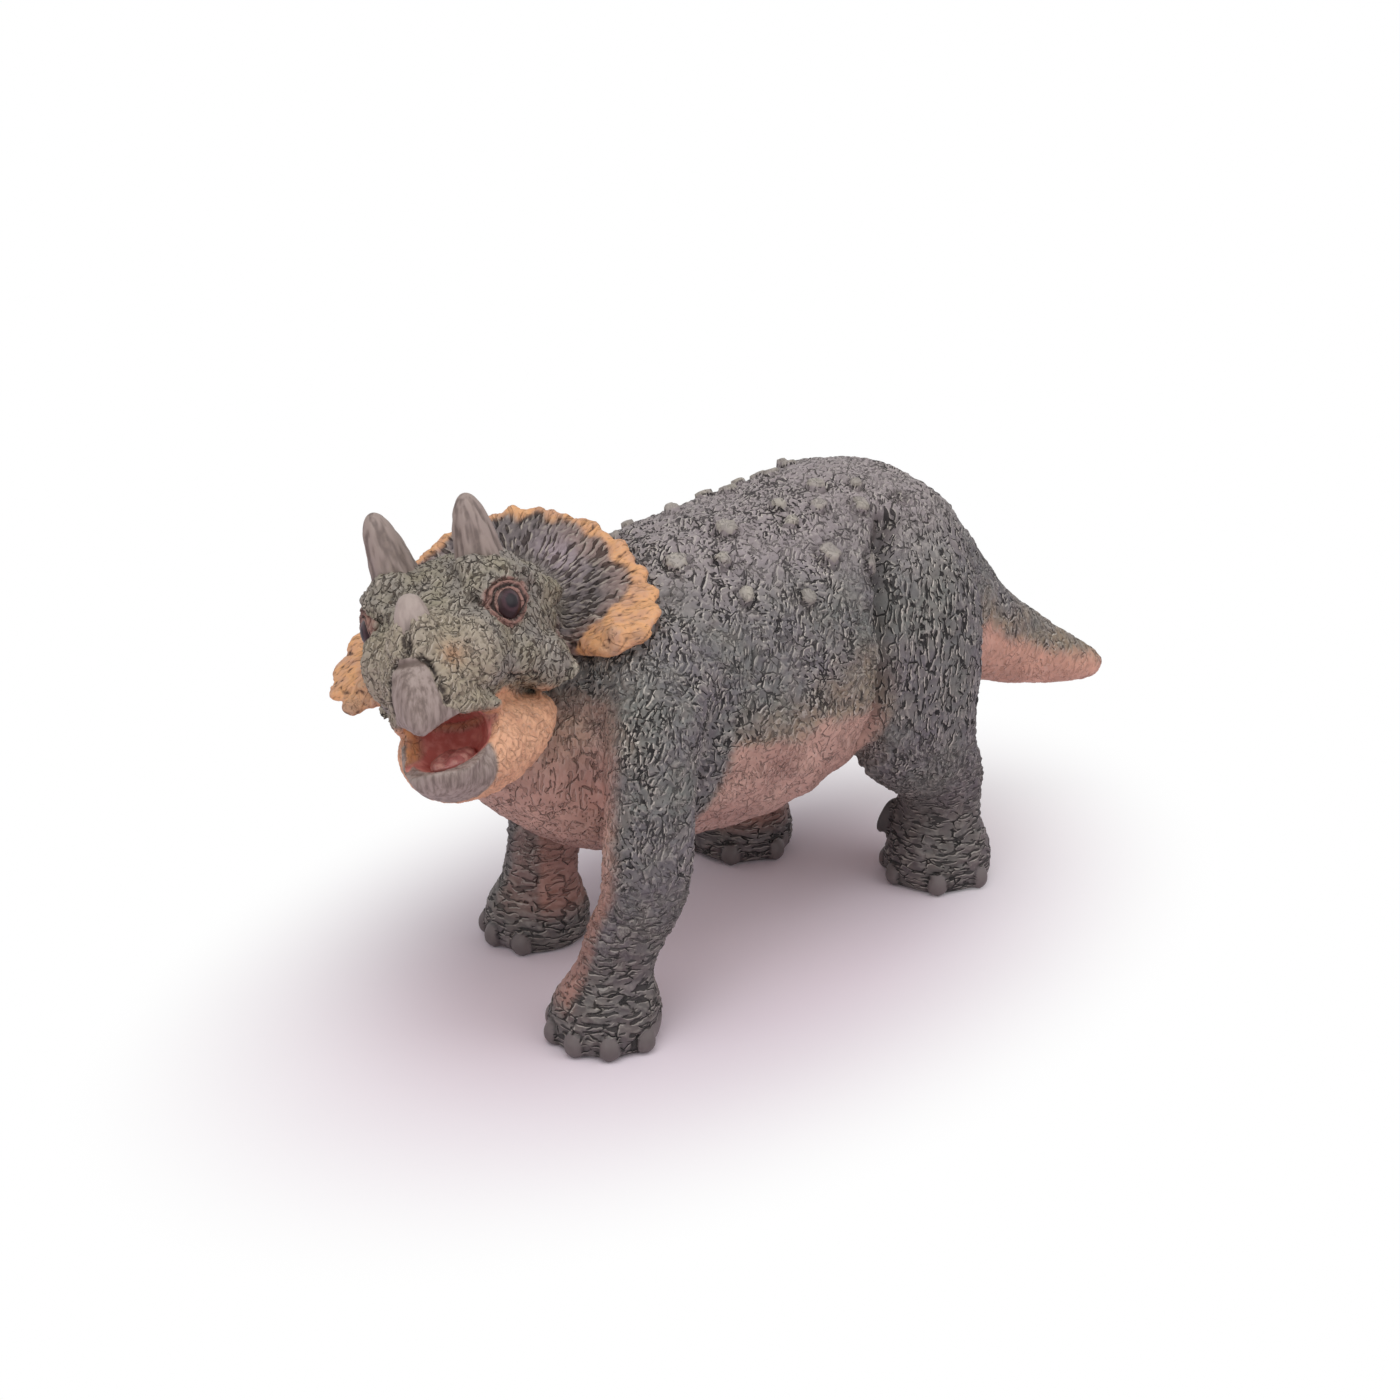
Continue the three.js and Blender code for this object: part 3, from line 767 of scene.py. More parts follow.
def bodyPaint():
    paint = Paint("bodySkin")
    relief, under, tan, nail, scute, upright, level, fold = paint.attributes(bodyMarks)
    scute = scute.ramp(0.35, 0.65)
    rough = 1.0 - nail.most(scute * 0.7)
    place = paint.drifted(1.5, 0.7)
    parting = paint.noise(3.2, 2, 0.5, 31.0)
    plain = 1.0 - upright.most(level)
    fore = parting.ramp(0.46, 0.52) * plain
    back = parting.ramp(0.54, 0.48) * plain
    standing = paint.noise(5, 2, 0.5, 41.0).ramp(0.5, 0.6) * 0.9
    standing = upright.most(standing) * (1.0 - level)
    busy = paint.noise(5, 2, 0.5, 17.0).ramp(0.42, 0.6)
    broken = paint.noise(1.3, 2, 0.5, 3.0).ramp(0.47, 0.55)

    def cracksAt(place):
        cuts = paint.scored(place, 0.36, 5.0, (0.75, 0.2, 0.3), 1.0, 0.62) * fore
        cuts = cuts.most(paint.scored(place, 0.36, 5.0, (-0.7, -0.3, 0.2), 5.0, 0.62) * back)
        cuts = cuts * (0.5 + busy * 0.5)
        cuts = cuts.most(paint.scored(place, 0.34, 6.0, (0.1, 0.1, 0.0), 9.0, 0.615) * standing)
        cuts = cuts.most(paint.scored(place, 1.7, 0.2, (0.0, 0.0, 0.0), 13.0, 0.6) * level * 0.8)
        nets = paint.net(place, 2.1, 0.045, (1, 1, 1), 1.0) * broken * (0.4 + busy * 0.5)
        tall = paint.net(place, 1.6, 0.06, (0.8, 0.8, 2.2), 2.0) * broken
        wide = paint.net(place, 1.4, 0.065, (1.8, 1.8, 0.8), 6.0) * broken
        nets = paint.amount(level, paint.amount(upright, nets, tall), wide)
        return cuts.most(nets) * rough

    crack = cracksAt(place)
    # painted highlight on the lips of the cracks towards the light, and painted shade on the lips away
    # from it
    raised = cracksAt(paint.shifted(place, 0.19)) * (1.0 - crack)
    shadedLips = cracksAt(paint.shifted(place, -0.19))
    broad = paint.noise(9, 3).ramp(0.35, 0.65)
    patchy = paint.noise(2.4, 3).ramp(0.4, 0.68)
    high = paint.axis("Z").ramp(0.041, 0.053)
    dark = paint.mix(broad, tint(115, 116, 112), tint(115, 109, 114))
    dark = paint.mix(patchy * 0.4, dark, tint(136, 128, 121))
    dark = paint.mix(high * 0.8, dark, tint(180, 167, 169))
    low = paint.axis("Z").ramp(0.024, 0.008)
    dark = paint.darken(low * 0.9, dark, tint(206, 193, 193))
    belly = paint.mix(broad, tint(208, 166, 149), tint(186, 143, 129))
    tailward = paint.axis("Y").ramp(0.026, 0.034)
    belly = paint.mix(tailward, belly, tint(228, 172, 148))
    belly = paint.mix(low * (1.0 - tailward) * 0.8, belly, tint(156, 112, 102))
    base = paint.mix(tan * (0.6 + patchy * 0.4), dark, tint(166, 146, 122))
    base = paint.mix(under, base, belly)
    base = paint.mix(scute * (0.45 + patchy * 0.4), base, tint(188, 180, 166))
    toe = paint.axis("Z").ramp(0.006, 0.004)
    base = paint.mix(nail, base, paint.mix(toe, tint(72, 66, 66), tint(104, 94, 94)))
    # a dark wash in the skin's hollows, with painted shade from relief in the crease and in the grooves
    # round knobs and nails
    shade = (1.0 - relief.ramp(0.0, 0.35)) * (0.25 - under * 0.12)
    mottle = paint.noise(3.0, 4, 0.6, 51.0).ramp(0.35, 0.65)
    washedAndShaded = paint.darken(shade.most(0.25 - mottle * 0.25), base, tint(130, 122, 122))
    # painted shade along the crease between flank and haunch and round the back's knobs and the nails
    washedAndShaded = paint.darken(fold * 0.85, washedAndShaded, tint(112, 98, 98))
    # dry brushed paint on the highest skin, with the painted highlights of the lit lips; the far lips then
    # get painted shade
    light = (relief.ramp(0.65, 1.0) * 0.25).most(raised * (0.55 + patchy * 0.35))
    light = light * (1.0 - (under * 0.75).most(level * 0.35))
    brushedAndLit = paint.mix(light, washedAndShaded, tint(214, 206, 196))
    brushedAndLit = paint.darken(shadedLips * (0.3 - under * 0.22), brushedAndLit, tint(150, 146, 148))
    drawn = crack * (0.95 - under * 0.78 - tailward * 0.05)
    lined = paint.darken(drawn, brushedAndLit, tint(66, 61, 64))
    grain = paint.bump(1.0 - crack * (1.0 - tailward * 0.6), 0.55)
    return paint.finish(Base_Color=lined, Roughness=0.52 + crack * 0.3 - raised * 0.1, Normal=grain)


# ---------- head, in its own frame: origin between the eyes, looking along -y

headTurn = Matrix.Rotation(math.radians(31), 4, "Z") @ Matrix.Rotation(math.radians(-15), 4, "X")
headTurn = headTurn @ Matrix.Rotation(math.radians(-17), 4, "Y")
headPlace = Matrix.Translation((0.772, -43.45, 46.095)) @ headTurn
head = {
    "voxel": 0.2,
    "grow": 0.18,
    "eye": (6.75, -2.9, 2.0),
    "eyeRadius": 2.15,
    "frillRoot": (0.57, 13.0, 0.0),
    "frillLean": 35,
    "reliefDepth": 0.4,
    # by angle round the frill, the reach at which its orange rim starts
    "orangeFrom": ((0, 40, 60, 75, 87, 98, 111, 125), (13.2, 13.1, 13.8, 14.9, 15.6, 15.2, 12.6, 10.5)),
    # by depth below the eyes, half the width of the upper beak
    "beakHalf": (
        (1.2, 1.35, 1.9, 3.0, 5.3, 6.6, 7.4, 8.3, 9.2, 9.9),
        (0.0, 1.0, 1.8, 2.25, 2.7, 2.7, 3.4, 3.2, 2.2, 1.2),
    ),
    "nostril": (3.7, -12.0, -2.2),
    "slit": [(6.2, -4.2, -5.0), (7.3, -0.6, -5.9), (9.4, 1.0, -6.2)],
    "mouthMiddle": (0, -8.8, -10.2),
    "mouthSize": (4.1, 5.6, 3.2),
    # by angle round the frill, its reach and the least and greatest size of the knobs on its rim
    "frillReach": (
        (0, 29, 54, 79, 99, 112, 118, 122, 130, 180),
        (14.2, 13.9, 14.4, 16.0, 18.4, 17.9, 15.3, 11.0, 8.1, 7.0),
    ),
    "rimLeast": ((0, 60, 100), (0.75, 0.95, 1.3)),
    "rimMost": ((0, 60, 100), (1.3, 1.4, 1.7)),
    "lobeCurl": 2.2,
    "lobeDrop": 1.3,
    # on both sides: the points and radii of a ridge, or the centre and size of a lump
    "sides": [
        ([(2.4, -12.6, -7.4), (4.2, -10.0, -7.0), (5.2, -7.0, -7.9)], (0.9, 1.0, 1.0)),
        ([(3.4, -7.0, 3.0), (5.8, -5.0, 4.5), (7.4, -2.0, 5.2), (8.2, 1.6, 4.4)], (0.8, 1.0, 1.3, 1.2)),
        ([(4.6, 0.4, 5.4)], (3.9, 3.6, 3.0)),
        ([(5.0, -6.5, -2.0)], (2.8, 4.5, 4.2)),
        ([(6.3, 0.5, -3.2)], (3.2, 5.0, 3.6)),
        ([(7.2, 1.5, -4.6), (11.2, 4.6, -6.2)], (2.4, 0.6)),
        ([(7.4, 4.0, 3.0), (8.6, 9.0, 2.2)], (2.2, 1.2)),
        (
            [(4.8, -6.6, -8.7), (4.7, -8.6, -10.4), (4.1, -11, -12), (2.8, -13, -13.4), (0, -14.5, -13.4)],
            (0.6,) * 5,
        ),
    ],
    # upper lid, lower lid and the fold over the eye: radius, height, angles and thickness
    "lids": [
        (1.82, 1.2, range(-10, 200, 20), 0.52), (1.9, 0.95, range(185, 356, 17), 0.46),
        (2.75, 0.95, range(5, 185, 20), 0.4),
    ],
    # the mouth's opening, and the parting of skull and jaw, in y and z
    "gape": [
        (-18, -12.9), (-14.9, -12.9), (-12.8, -13.1), (-8.4, -11.3), (-6.3, -8.8), (-7.5, -8.2),
        (-9.5, -7.8), (-12.2, -7.7), (-14, -8.5), (-15.2, -9.6), (-18, -10.4),
    ],
    "jawCut": [
        (-19, -11.5), (-14.5, -11.3), (-12.5, -10.9), (-10, -9.8), (-8.2, -9.0), (-6.3, -8.2),
        (-5.2, -6.9), (-4, -5.9), (0, -6.4), (5, -7.4), (18, -7.9), (18, -26), (-19, -26),
    ],
}
leanSin, leanCos = math.sin(math.radians(head["frillLean"])), math.cos(math.radians(head["frillLean"]))
# the way that an eye looks, and across and up the face of it
eyeOut = Vector((0.83, -0.55, 0.06)).normalized()
eyeAcross = eyeOut.cross(Vector((0, 0, 1))).normalized()
eyeRise = eyeAcross.cross(eyeOut).normalized()


def headClay():
    clay = nodeClay(["head", "lower_jaw"], head["grow"], headPlace.inverted())
    ball(clay, (0, -11.0, 0.0), (3.2, 2.7, 2.7))
    ball(clay, (0.1, -10.9, 1.6), (2.6, 2.3, 1.6))
    ball(clay, (0, -12.2, -4.6), (2.8, 2.6, 4.0), (8, 0, 0))
    cord(clay, [(0, -13.2, -5.8), (0, -14.5, -8.7)], [1.9, 0.8])
    ball(clay, (0, -8, -2.5), (4.6, 6, 5))
    for side in (1, -1):
        for points, sizes in head["sides"]:
            points = [(side * x, y, z) for x, y, z in points]
            if len(points) == 1:
                ball(clay, points[0], sizes)
            else:
                cord(clay, points, sizes)
    ball(clay, (0, 12, 1.0), (8.5, 3.8, 6.5))
    addFrillRim(clay)
    obj = moulded("headWhole", clay, 0.3)
    curlFrill(obj.data)
    relax(obj.data, 8)
    clay = bmesh.new()
    ball(clay, head["mouthMiddle"], head["mouthSize"], (8, 0, 0))
    prism(clay, head["gape"], -3.9, 8)
    for side in (1, -1):
        x, y, z = head["eye"]
        ball(clay, (side * (x + 1.25), y - 0.83, z), (2.2, 2.0, 1.7), (0, 0, side * -33.5))
    carve = moulded("carve", clay, 0.25)
    cut(obj, carve, "DIFFERENCE")
    bpy.data.objects.remove(carve)
    clay = reopened(obj)
    for side in (1, -1):
        for radius, height, angles, thick in head["lids"]:
            cord(clay, [eyeRing(side, radius, height, angle) for angle in angles], [thick] * len(angles))
    return moulded("headWhole", clay, head["voxel"], 3)


def frillPolar(spots):
    # angle from straight up, distance from the root in the frill's plane, and depth in front of it
    x, y, z = (spots - np.array(head["frillRoot"])).T
    up = y * leanSin + z * leanCos
    return np.degrees(np.arctan2(x, up)), np.hypot(x, up), z * leanSin - y * leanCos


def curlFrill(mesh):
    # the lowest lobes hang further down and curl forward over the shoulders
    spots, _ = readPoints(mesh)
    angle, reach, deep = frillPolar(spots)
    share = step(np.abs(angle), 82, 108) * step(reach, 9.5, 15) * step(np.abs(deep), 4, 2.5)
    spots[:, 1] -= share * (head["lobeCurl"] * leanCos + head["lobeDrop"] * leanSin)
    spots[:, 2] += share * (head["lobeCurl"] * leanSin - head["lobeDrop"] * leanCos)
    writePoints(mesh, spots)


def eyeRing(side, radius, height, angle):
    # a point round the eye's opening, angle 0 at the front corner and 90 at the top
    turn = math.radians(angle)
    point = Vector(head["eye"]) + eyeOut * height
    point += eyeAcross * (-math.cos(turn) * radius)
    point += eyeRise * (math.sin(turn) * radius * 0.84)
    return (side * point.x, point.y, point.z)


def frillSpot(angle, reach, deep=0.0):
    # a point of the frill: angle from straight up, distance from its root, and depth in front of it
    x, y, z = head["frillRoot"]
    turn = math.radians(angle)
    across, rise = math.sin(turn) * reach, math.cos(turn) * reach
    return (x + across, y + leanSin * rise - leanCos * deep, z + leanCos * rise + leanSin * deep)


def addFrillRim(clay):
    draw = np.random.default_rng(21)
    turn = (-head["frillLean"], 0, 0)
    angle = -113.0
    while angle < 114:
        reach = np.interp(abs(angle), *head["frillReach"])
        size = draw.uniform(*(np.interp(abs(angle), *head[key]) for key in ("rimLeast", "rimMost")))
        place = frillSpot(angle, reach + draw.uniform(-0.4, 0.35), draw.uniform(-0.2, 0.4))
        ball(clay, place, (size, 0.9, size * draw.uniform(0.8, 1.15)), turn)
        angle += math.degrees(size * 1.7 / reach)
    for angle in (110, -110):
        ball(clay, frillSpot(angle, 15.4, 1.1), (1.1, 0.9, 1.1), turn)


def eyePolar(spots):
    # angle and distance round the nearer eye's opening
    gap = np.stack([np.abs(spots[:, 0]), spots[:, 1], spots[:, 2]], axis=1) - np.array(head["eye"])
    across, high, ahead = (gap @ np.array(way) for way in (eyeAcross, eyeRise, eyeOut))
    return np.degrees(np.arctan2(high, across)), np.where(ahead > -1.5, np.hypot(across, high / 0.86), 99)


def sculptHead(obj):
    mesh = obj.data
    spots, outward = readPoints(mesh)
    x, y, z = spots.T
    turn, reach, deep = frillPolar(spots)
    angle = np.abs(turn)
    frill = step(reach, 6.5, 9.0) * step(np.abs(deep), 5.0, 3.6) * step(y, 4, 7)
    edge = np.interp(angle, *head["orangeFrom"])
    orange = frill * step(reach + Noise(91).wave(spots / 2.2) * 0.9, edge - 0.5, edge + 0.7)
    pale = step(reach + Noise(92).wave(spots / 2.2) * 0.9, edge - 3.6, edge - 0.3)
    pale = frill * pale * step(angle, 20, 60)
    purple = frill * hill(angle - 50, 22) * hill(reach - 9.8, 2.2)
    eyeAngle, eyeGap = eyePolar(spots)
    upper = 0.45 + 0.55 * step(np.sin(np.radians(eyeAngle)), -0.5, 0.4)
    wobble = eyeGap * (1.13 + 0.1 * Noise(93).wave(spots / 1.0))
    rings = 0.34 * hill(wobble - 2.7, 0.22) - 0.3 * hill(wobble - 2.3, 0.14)
    rings += upper * (0.3 * hill(wobble - 3.5, 0.24) - 0.32 * hill(wobble - 3.12, 0.15))
    lid = step(eyeGap + 0.25 * Noise(94).wave(spots / 0.8), 3.25, 2.75)
    half = np.interp(-z, *head["beakHalf"])
    beakTop = step(np.abs(x) - half, 0.12, -0.12) * step(y, -10.4, -11.0)
    outline = hill(np.abs(x) - half - 0.25, 0.3) * step(y, -10.4, -11.4) * step(z, -6.9, -6.3)
    mouthGap = norms((spots - np.array(head["mouthMiddle"])) / head["mouthSize"])
    mouth = step(mouthGap, 1.1, 1.03) * step(z, -6.6, -7.3)
    inward = -(outward[:, 0] * x) - outward[:, 1] * (y + 8)
    inside = step(z, -7.0, -7.6) * step(inward, 0.5, 1.5) * step(y, -6, -7)
    mouth = np.maximum(mouth, inside) * step(inward, -3.5, -2.2)
    beakLow = step(y + np.abs(x) * 0.1, -8.0, -8.5) * step(z, -9.0, -9.6) * (1 - mouth)
    beak = np.maximum(beakTop * (1 - mouth), beakLow)
    jaw = step(z + np.interp(y, (-8, -4, 5, 12), (8.2, 6.3, 8.6, 8.6)), 0.5, -0.4)
    jaw = jaw * (1 - beak) * (1 - mouth)
    cheekInside = mouth * step(x, -3.2, -3.9) * step(z, -12.2, -11.5) * step(y, -5, -8)
    cheek = step(np.hypot(y, z + 2.5), 9, 5) * step(np.abs(x), 4.5, 6)
    away = (spots - np.array(head["frillRoot"])) / np.maximum(reach, 1)[:, None]
    main = np.array((0.2, 0.3, 0.1)) + pull(cheek, (0, 0.5, 0.9))
    main = main + pull(frill, away) * 1.6 + pull(jaw, (0, 0.3, 0.8))
    relief = wrinkled(spots, outward, 1.05, 111, main, 0.7)
    near, later = Noise(151).cells(spots)
    scaly = np.maximum(cheek * 0.35, 0.15)
    relief = relief * (1 - scaly) + step(later - near, 0.02, 0.4) * scaly
    calm = np.clip(mouth + beak + lid * 0.7, 0, 1)
    streak = Noise(160).wave(spots * (2.4, 0.6, 0.3)) + 0.5 * Noise(161).wave(spots * (5, 1.2, 0.5))
    depth = head["reliefDepth"] * (1 - calm) * (1 - 0.3 * jaw) * (1 + 0.5 * frill) * (1 - 0.35 * cheek)
    height = depth * (relief - 0.5) * (1 - 0.6 * orange) + 0.06 * streak * beak + rings
    height += 0.1 * Noise(162).wave(spots / 1.4) * mouth
    slit = distanceToLine(np.stack([np.abs(x), y, z], axis=1), head["slit"])
    slit = hill(slit, 0.36) * (1 - calm)
    height -= 0.35 * slit
    fold = hill(z + 0.9, 0.75) * step(np.abs(x), 3.0, 1.8) * step(y, -10, -12)
    below = hill(z + 1.75, 0.4) * step(np.abs(x), 2.6, 1.6) * step(y, -10, -12)
    height += 0.5 * fold * (0.7 + 0.6 * Noise(163).wave(spots / 0.9)) - 0.35 * below - 0.4 * outline
    height -= 0.5 * hill(norms(spots - np.array(head["nostril"])), 0.55)
    spots += outward * height[:, None]
    writePoints(mesh, spots)
    # darkened lines, stored in relief: painted shadow in the slit between cheek and pouch, painted shade
    # under the fold across the snout, and darker lines along the beak's edge and round the eye
    dark = 0.6 * outline + 0.5 * below + 0.8 * slit
    dark += 1.2 * hill(wobble - 2.3, 0.2) + 0.5 * upper * hill(wobble - 3.12, 0.2)
    nostrilGap = norms(spots - np.array(head["nostril"]) - (0.3, 0, 0.5))
    tipGap = norms(np.abs(spots) - (11.3, 4.6, 6.3))
    store(
        mesh,
        relief=relief * (1 - calm) + 0.7 * calm - dark * (1 - mouth),
        frill=frill, orange=np.maximum(orange, cheekInside), pale=pale, purple=purple, lid=lid, beak=beak,
        mouth=mouth * (1 - cheekInside), jaw=jaw,
        patch=hill(nostrilGap, 1.3), tip=hill(tipGap, 1.2) * (z < 0),
        arc=(turn * 0.21 + 30) / 60, reach=reach / 20,
        snout=step(y, -7.5, -9.5) * (1 - jaw),
    )
    print("head sculpted,", len(mesh.vertices), "points")


headMarks = (
    "relief", "frill", "orange", "pale", "purple", "lid", "beak", "mouth", "jaw", "patch", "tip",
    "arc", "reach", "snout",
)


def headPaint():
    paint = Paint("headSkin")
    marks = paint.attributes(headMarks)
    relief, frill, orange, pale, purple, lid, beak, mouth, jaw, patch, tip, arc, reach, snout = marks
    broad = paint.noise(5, 3).ramp(0.35, 0.65)
    patchy = paint.noise(1.8, 4).ramp(0.4, 0.65)
    fine = paint.noise(0.3, 4, 0.7)
    base = paint.mix(broad, tint(154, 145, 126), tint(146, 138, 131))
    base = paint.mix(snout * 0.6, base, tint(176, 161, 139))
    base = paint.mix(frill, base, tint(112, 102, 102))
    base = paint.mix(purple * 0.8, base, tint(182, 164, 172))
    base = paint.mix(pale * 0.6, base, tint(172, 142, 132))
    amber = paint.mix(patchy, tint(238, 178, 126), tint(220, 166, 131))
    base = paint.mix(orange, base, amber)
    base = paint.mix(jaw, base, paint.mix(patchy, tint(236, 180, 144), tint(214, 158, 126)))
    base = paint.mix(patch * 0.55, base, tint(198, 140, 98))
    base = paint.mix(lid * 0.8, base, tint(160, 112, 102))
    rough = (1.0 - mouth.most(beak)) * (1.0 - lid * 0.6)
    open = rough * (1.0 - orange * 0.7)
    place = paint.drifted(1.2, 0.8)
    parting = paint.noise(2.6, 2, 0.5, 31.0)
    fore = parting.ramp(0.44, 0.54) * (1.0 - frill)
    back = parting.ramp(0.56, 0.46) * (1.0 - frill)
    broken = paint.noise(0.9, 2, 0.5, 3.0).ramp(0.44, 0.52)
    turned = paint.node("CombineXYZ", {"X": arc * 0.06, "Z": reach * 0.02})

    def cracksAt(place, turned):
        cuts = paint.scored(place, 0.32, 4.5, (0.75, 0.2, 0.3), 1.0, 0.62) * fore
        cuts = cuts.most(paint.scored(place, 0.32, 4.5, (-0.5, 0.5, 0.2), 5.0, 0.62) * back)
        nets = paint.net(place, 1.25, 0.065, (1, 1, 1), 1.0) * broken * (1.0 - frill)
        rays = paint.scored(turned, 0.4, 4.5, (0.0, 0.25, 0.0), 11.0, 0.57, 0.65) * frill
        return cuts.most(nets).most(rays)

    # painted highlight on the lips of the cracks and rays towards the light
    aside = paint.vector("ADD", turned, (-0.0002, 0.0, 0.0001))
    cracks = cracksAt(place, turned)
    litRidges = cracksAt(paint.shifted(place, 0.17), aside) * (1.0 - cracks) * open
    cracks = cracks * open * (1.0 - jaw * 0.75) * (1.0 - snout * 0.4)
    # a dark wash in the hollows; relief also brings painted shadow in the cheek's slit and painted shade
    # under the fold across the snout
    shade = (1.0 - relief.ramp(0.0, 0.55)) * (1.0 - jaw * 0.6)
    washedAndShaded = paint.darken(shade, base, tint(84, 72, 66))
    warm = (1.0 - jaw * 0.6) * (1.0 - orange * 0.6)
    # dry brushed paint on the highest skin, with the painted highlights of the lit ridges
    light = (relief.ramp(0.6, 1.0) * (0.2 + frill * 0.2)).most(litRidges * (0.35 + patchy * 0.4)) * warm
    brushedAndLit = paint.mix(light, washedAndShaded, tint(200, 188, 174))
    brushedAndLit = paint.darken(cracks * (0.35 + warm * 0.5), brushedAndLit, tint(128, 116, 110))
    brushedAndLit = paint.mix(tip * 0.8, brushedAndLit, tint(206, 194, 182))
    streaks = paint.noise(1.1, 3, 0.6, stretch=(0.5, 0.5, 3.0)).ramp(0.35, 0.7)
    horny = paint.mix(streaks, tint(168, 151, 144), tint(118, 102, 95))
    base = paint.mix(beak, brushedAndLit, paint.mix(relief.ramp(0.1, 0.6), tint(96, 80, 72), horny))
    red = paint.mix(paint.noise(1.2, 3).ramp(0.4, 0.7), tint(206, 122, 115), tint(232, 162, 151))
    base = paint.mix(mouth, base, red)
    shine = 0.52 + fine * 0.15 + cracks * 0.2 - mouth * 0.2
    grain = paint.bump(1.0 - cracks, 0.4)
    return paint.finish(Base_Color=base, Roughness=shine, Normal=grain)


# ---------- horns, eyes, tongue

horns = {
    "brow_horn_left": {
        "root": (4.6, 0.2, 5.8), "tilt": (0.09, -0.33, 0.94), "length": 8.5, "radius": 2.9, "bend": 0.5,
    },
    "brow_horn_right": {
        "root": (-4.6, 0.2, 5.8), "tilt": (-0.09, -0.33, 0.94), "length": 8.7, "radius": 2.9, "bend": 0.5,
    },
    "nose_horn": {
        "root": (0.1, -10.8, 1.0), "tilt": (0.04, -0.12, 0.99), "length": 4.1, "radius": 2.35, "bend": 0,
    },
}


def makeHorn(name, horn, material):
    clay = bmesh.new()
    steps = 26
    verts = [clay.verts.new((0, 0, 0))]
    for index in range(steps):
        rise = math.sin(index / steps * math.pi / 2)
        wide = horn["radius"] * (1 - 0.52 * rise) * math.sqrt(1 - rise**8)
        verts.append(clay.verts.new((wide, 0, rise * horn["length"])))
    verts.append(clay.verts.new((0, 0, horn["length"])))
    edges = [clay.edges.new(pair) for pair in zip(verts, verts[1:])]
    turn = {"cent": (0, 0, 0), "axis": (0, 0, 1), "angle": 2 * math.pi, "steps": 72}
    bmesh.ops.spin(clay, geom=verts + edges, use_merge=True, **turn)
    bmesh.ops.remove_doubles(clay, verts=clay.verts, dist=0.0005)
    bmesh.ops.recalc_face_normals(clay, faces=clay.faces)
    obj = makeObject(name, clay)
    spots, outward = readPoints(obj.data)
    x, y, z = spots.T
    seed = 200 + len(name)
    streak = Noise(seed).wave(spots * (1.5, 1.5, 0.3))
    streak += 0.6 * Noise(seed + 1).wave(spots * (3.2, 3.2, 0.5))
    spots += outward * (0.13 * streak * step(z, horn["length"], horn["length"] * 0.7))[:, None]
    spots[:, 1] += horn["bend"] * (z / horn["length"]) ** 2
    writePoints(obj.data, spots)
    fair = np.full(len(x), 1.0 if name == "nose_horn" else 0.0)
    store(obj.data, relief=0.5 + 0.6 * streak, rise=z / horn["length"], fair=fair)
    turn = Vector(horn["tilt"]).to_track_quat("Z", "Y").to_matrix().to_4x4()
    obj.data.transform(headPlace @ Matrix.Translation(horn["root"]) @ turn)
    finishPiece(obj, name + "_horny", material, [name])


def hornPaint():
    paint = Paint("hornFinish")
    relief, rise, fair = paint.attributes(("relief", "rise", "fair"))
    base = paint.mix(relief.ramp(0.15, 0.7), tint(118, 103, 97), tint(164, 147, 140))
    base = paint.mix(rise.ramp(0.25, 0.0) * 0.6, base, tint(122, 110, 98))
    base = paint.mix(paint.noise(0.8, 3).ramp(0.45, 0.7) * 0.25, base, tint(164, 146, 134))
    base = paint.mix(fair * rise.ramp(0.1, 0.6) * 0.8, base, tint(186, 170, 162))
    grain = paint.bump(paint.noise(0.35, 3), 0.03)
    return paint.finish(Base_Color=base, Roughness=0.5 + relief * 0.15, Normal=grain)


def eyePaint():
    paint = Paint("eyeFinish")
    iris, pupil = paint.attributes(("iris", "pupil"))
    base = paint.mix(iris, tint(46, 24, 27), tint(72, 48, 54))
    base = paint.mix(paint.noise(0.5, 2).ramp(0.4, 0.65) * iris * 0.5, base, tint(66, 44, 54))
    base = paint.mix(pupil, base, tint(26, 18, 26))
    paint.shader.inputs["Specular IOR Level"].default_value = 0.3
    return paint.finish(Base_Color=base, Roughness=0.3)


def makeEye(side, material):
    clay = bmesh.new()
    x, y, z = head["eye"]
    middle = (side * x, y, z)
    place = Matrix.Translation(middle)
    bmesh.ops.create_uvsphere(clay, u_segments=64, v_segments=40, radius=head["eyeRadius"], matrix=place)
    obj = makeObject("eye", clay)
    spots, _ = readPoints(obj.data)
    out = np.array(eyeRing(side, 0.0, 1.0, 0)) - np.array(middle)
    facing = (spots - np.array(middle)) @ out / head["eyeRadius"] / np.linalg.norm(out)
    store(obj.data, iris=step(facing, 0.84, 0.88), pupil=step(facing, 0.925, 0.945))
    obj.data.transform(headPlace)
    finishPiece(obj, "eye_left" if side > 0 else "eye_right", material, [])


def tonguePaint():
    paint = Paint("tongueFinish")
    base = paint.mix(paint.noise(1.0, 4).ramp(0.4, 0.7), tint(166, 102, 98), tint(206, 156, 144))
    return paint.finish(Base_Color=base, Roughness=0.4, Normal=paint.bump(paint.noise(0.4, 3), 0.05))


def makeTongue(material):
    clay = nodeClay(["tongue"], 0.0, headPlace.inverted())
    ball(clay, (0, -8.2, -12.3), (2.1, 4.0, 0.95), (6, 0, 0))
    obj = moulded("tongue", clay, 0.22, 6)
    spots, outward = readPoints(obj.data)
    x, y, z = spots.T
    groove = 0.12 * Noise(240).wave(spots / 0.8) - 0.35 * hill(x, 0.5)
    spots += outward * (groove * step(outward[:, 2], 0.2, 0.6))[:, None]
    writePoints(obj.data, spots)
    obj.data.transform(headPlace)
    finishPiece(obj, "tongue_moulding", material, ["tongue"])


# ---------- floor and world


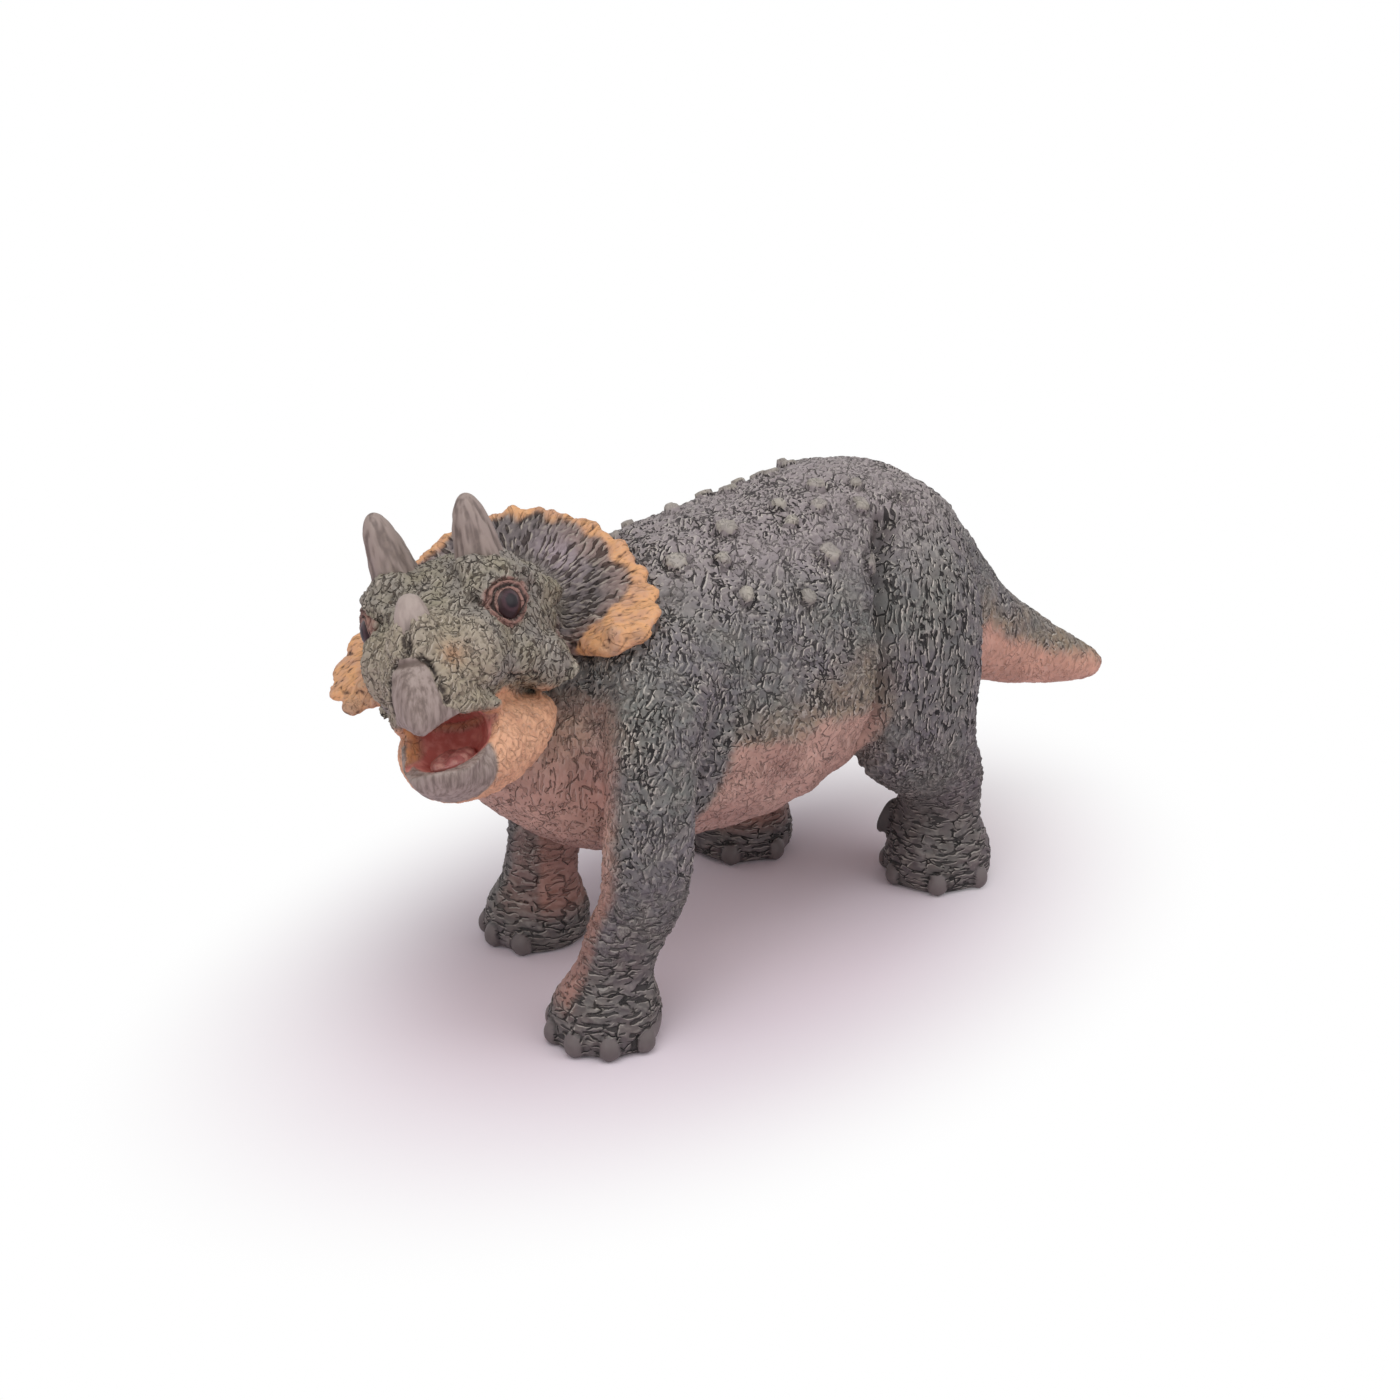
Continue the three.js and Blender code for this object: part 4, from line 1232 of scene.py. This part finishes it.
def makeFloor():
    clay = bmesh.new()
    bmesh.ops.create_grid(clay, x_segments=1, y_segments=1, size=stage["floorSize"] * 0.0005)
    floor = makeObject("floor", clay)
    paint = Paint("floorPaper")
    sockets = {
        "Vector": paint.place,
        "Location": tuple(v * 0.001 for v in stage["shadeMiddle"]) + (0.0,),
        "Rotation": (0, 0, stage["shadeTurn"]),
        "Scale": tuple(v * 0.001 for v in stage["shadeReach"]) + (1.0,),
    }
    spot = paint.node("Mapping", sockets, {"vector_type": "TEXTURE"})
    away = paint.vector("LENGTH", spot, out="Value").ramp(stage["shadeFrom"], stage["shadeTo"])
    seen = paint.node("LightPath", out="Is Camera Ray")
    paint.finish(Base_Color=tint(*stage["floorTint"]), Roughness=0.9)
    paper = Wire(paint, paint.shader.outputs[0])
    glow = paint.node("Emission", {"Color": (1, 1, 1, 1), "Strength": 1.0})
    both = paint.node("MixShader", {0: away * seen, 1: paper, 2: glow})
    paint.feed(paint.tree.nodes["Material Output"].inputs["Surface"], both)
    coat(floor, paint.material)


def makeWorld():
    scene.world = bpy.data.worlds.new("world")
    sky = Nodes(scene.world)
    background = sky.tree.nodes["Background"]
    background.inputs["Color"].default_value = (1, 1, 1, 1)
    seen = sky.node("LightPath", out="Is Camera Ray").most(sky.node("LightPath", out="Is Glossy Ray"))
    strength = sky.node("MapRange", {"Value": seen, "To Min": stage["worldStrength"], "To Max": 1.0})
    sky.feed(background.inputs["Strength"], strength)


scene.view_settings.view_transform = "Standard"
makeCamera()
for name, lamp in stage["lamps"].items():
    makeLamp(name, *lamp)
makeWorld()
makeFloor()
print("stage set")

skin = bodyPaint()
whole = bodyClay()
sculptBody(whole)
coat(whole, skinSlot)
cutters = {name: legCutter(name) for name in legs}
tailBlock = prismCutter("tailCutter", body["tailCut"], 40)
extras = [*cutters.values(), tailBlock]
for cutter in extras:
    coat(cutter, cutSlot)
bodyWhole = Whole(whole, bodyMarks)
torso = takePart(whole, extras, "DIFFERENCE")
finishPiece(torso, "torso_skin", skin, ["torso"], bodyWhole)
tail = takePart(whole, [tailBlock], "INTERSECT")
finishPiece(tail, "tail_skin", skin, ["tail"], bodyWhole)
for name, cutter in cutters.items():
    leg = takePart(whole, [cutter], "INTERSECT")
    finishPiece(leg, name + "_skin", skin, [name], bodyWhole)
print("body parted")

headSkin = headPaint()
wholeHead = headClay()
sculptHead(wholeHead)
coat(wholeHead, skinSlot)
jawBlock = prismCutter("jawCutter", head["jawCut"], 16)
coat(jawBlock, cutSlot)
headWhole = Whole(wholeHead, headMarks, headPlace)
for operation, name, slotName, node in (
    ("DIFFERENCE", "head_skin", "head_hide", "head"),
    ("INTERSECT", "lower_jaw_skin", "jaw_skin", "lower_jaw"),
):
    part = takePart(wholeHead, [jawBlock], operation)
    part.data.transform(headPlace)
    finishPiece(part, name, headSkin, [node], headWhole)
for extra in [whole, *extras, wholeHead, jawBlock]:
    bpy.data.objects.remove(extra)
hornMaterial = hornPaint()
for name, horn in horns.items():
    makeHorn(name, horn, hornMaterial)
eyeMaterial = eyePaint()
for side in (1, -1):
    makeEye(side, eyeMaterial)
makeTongue(tonguePaint())
print("head parted")
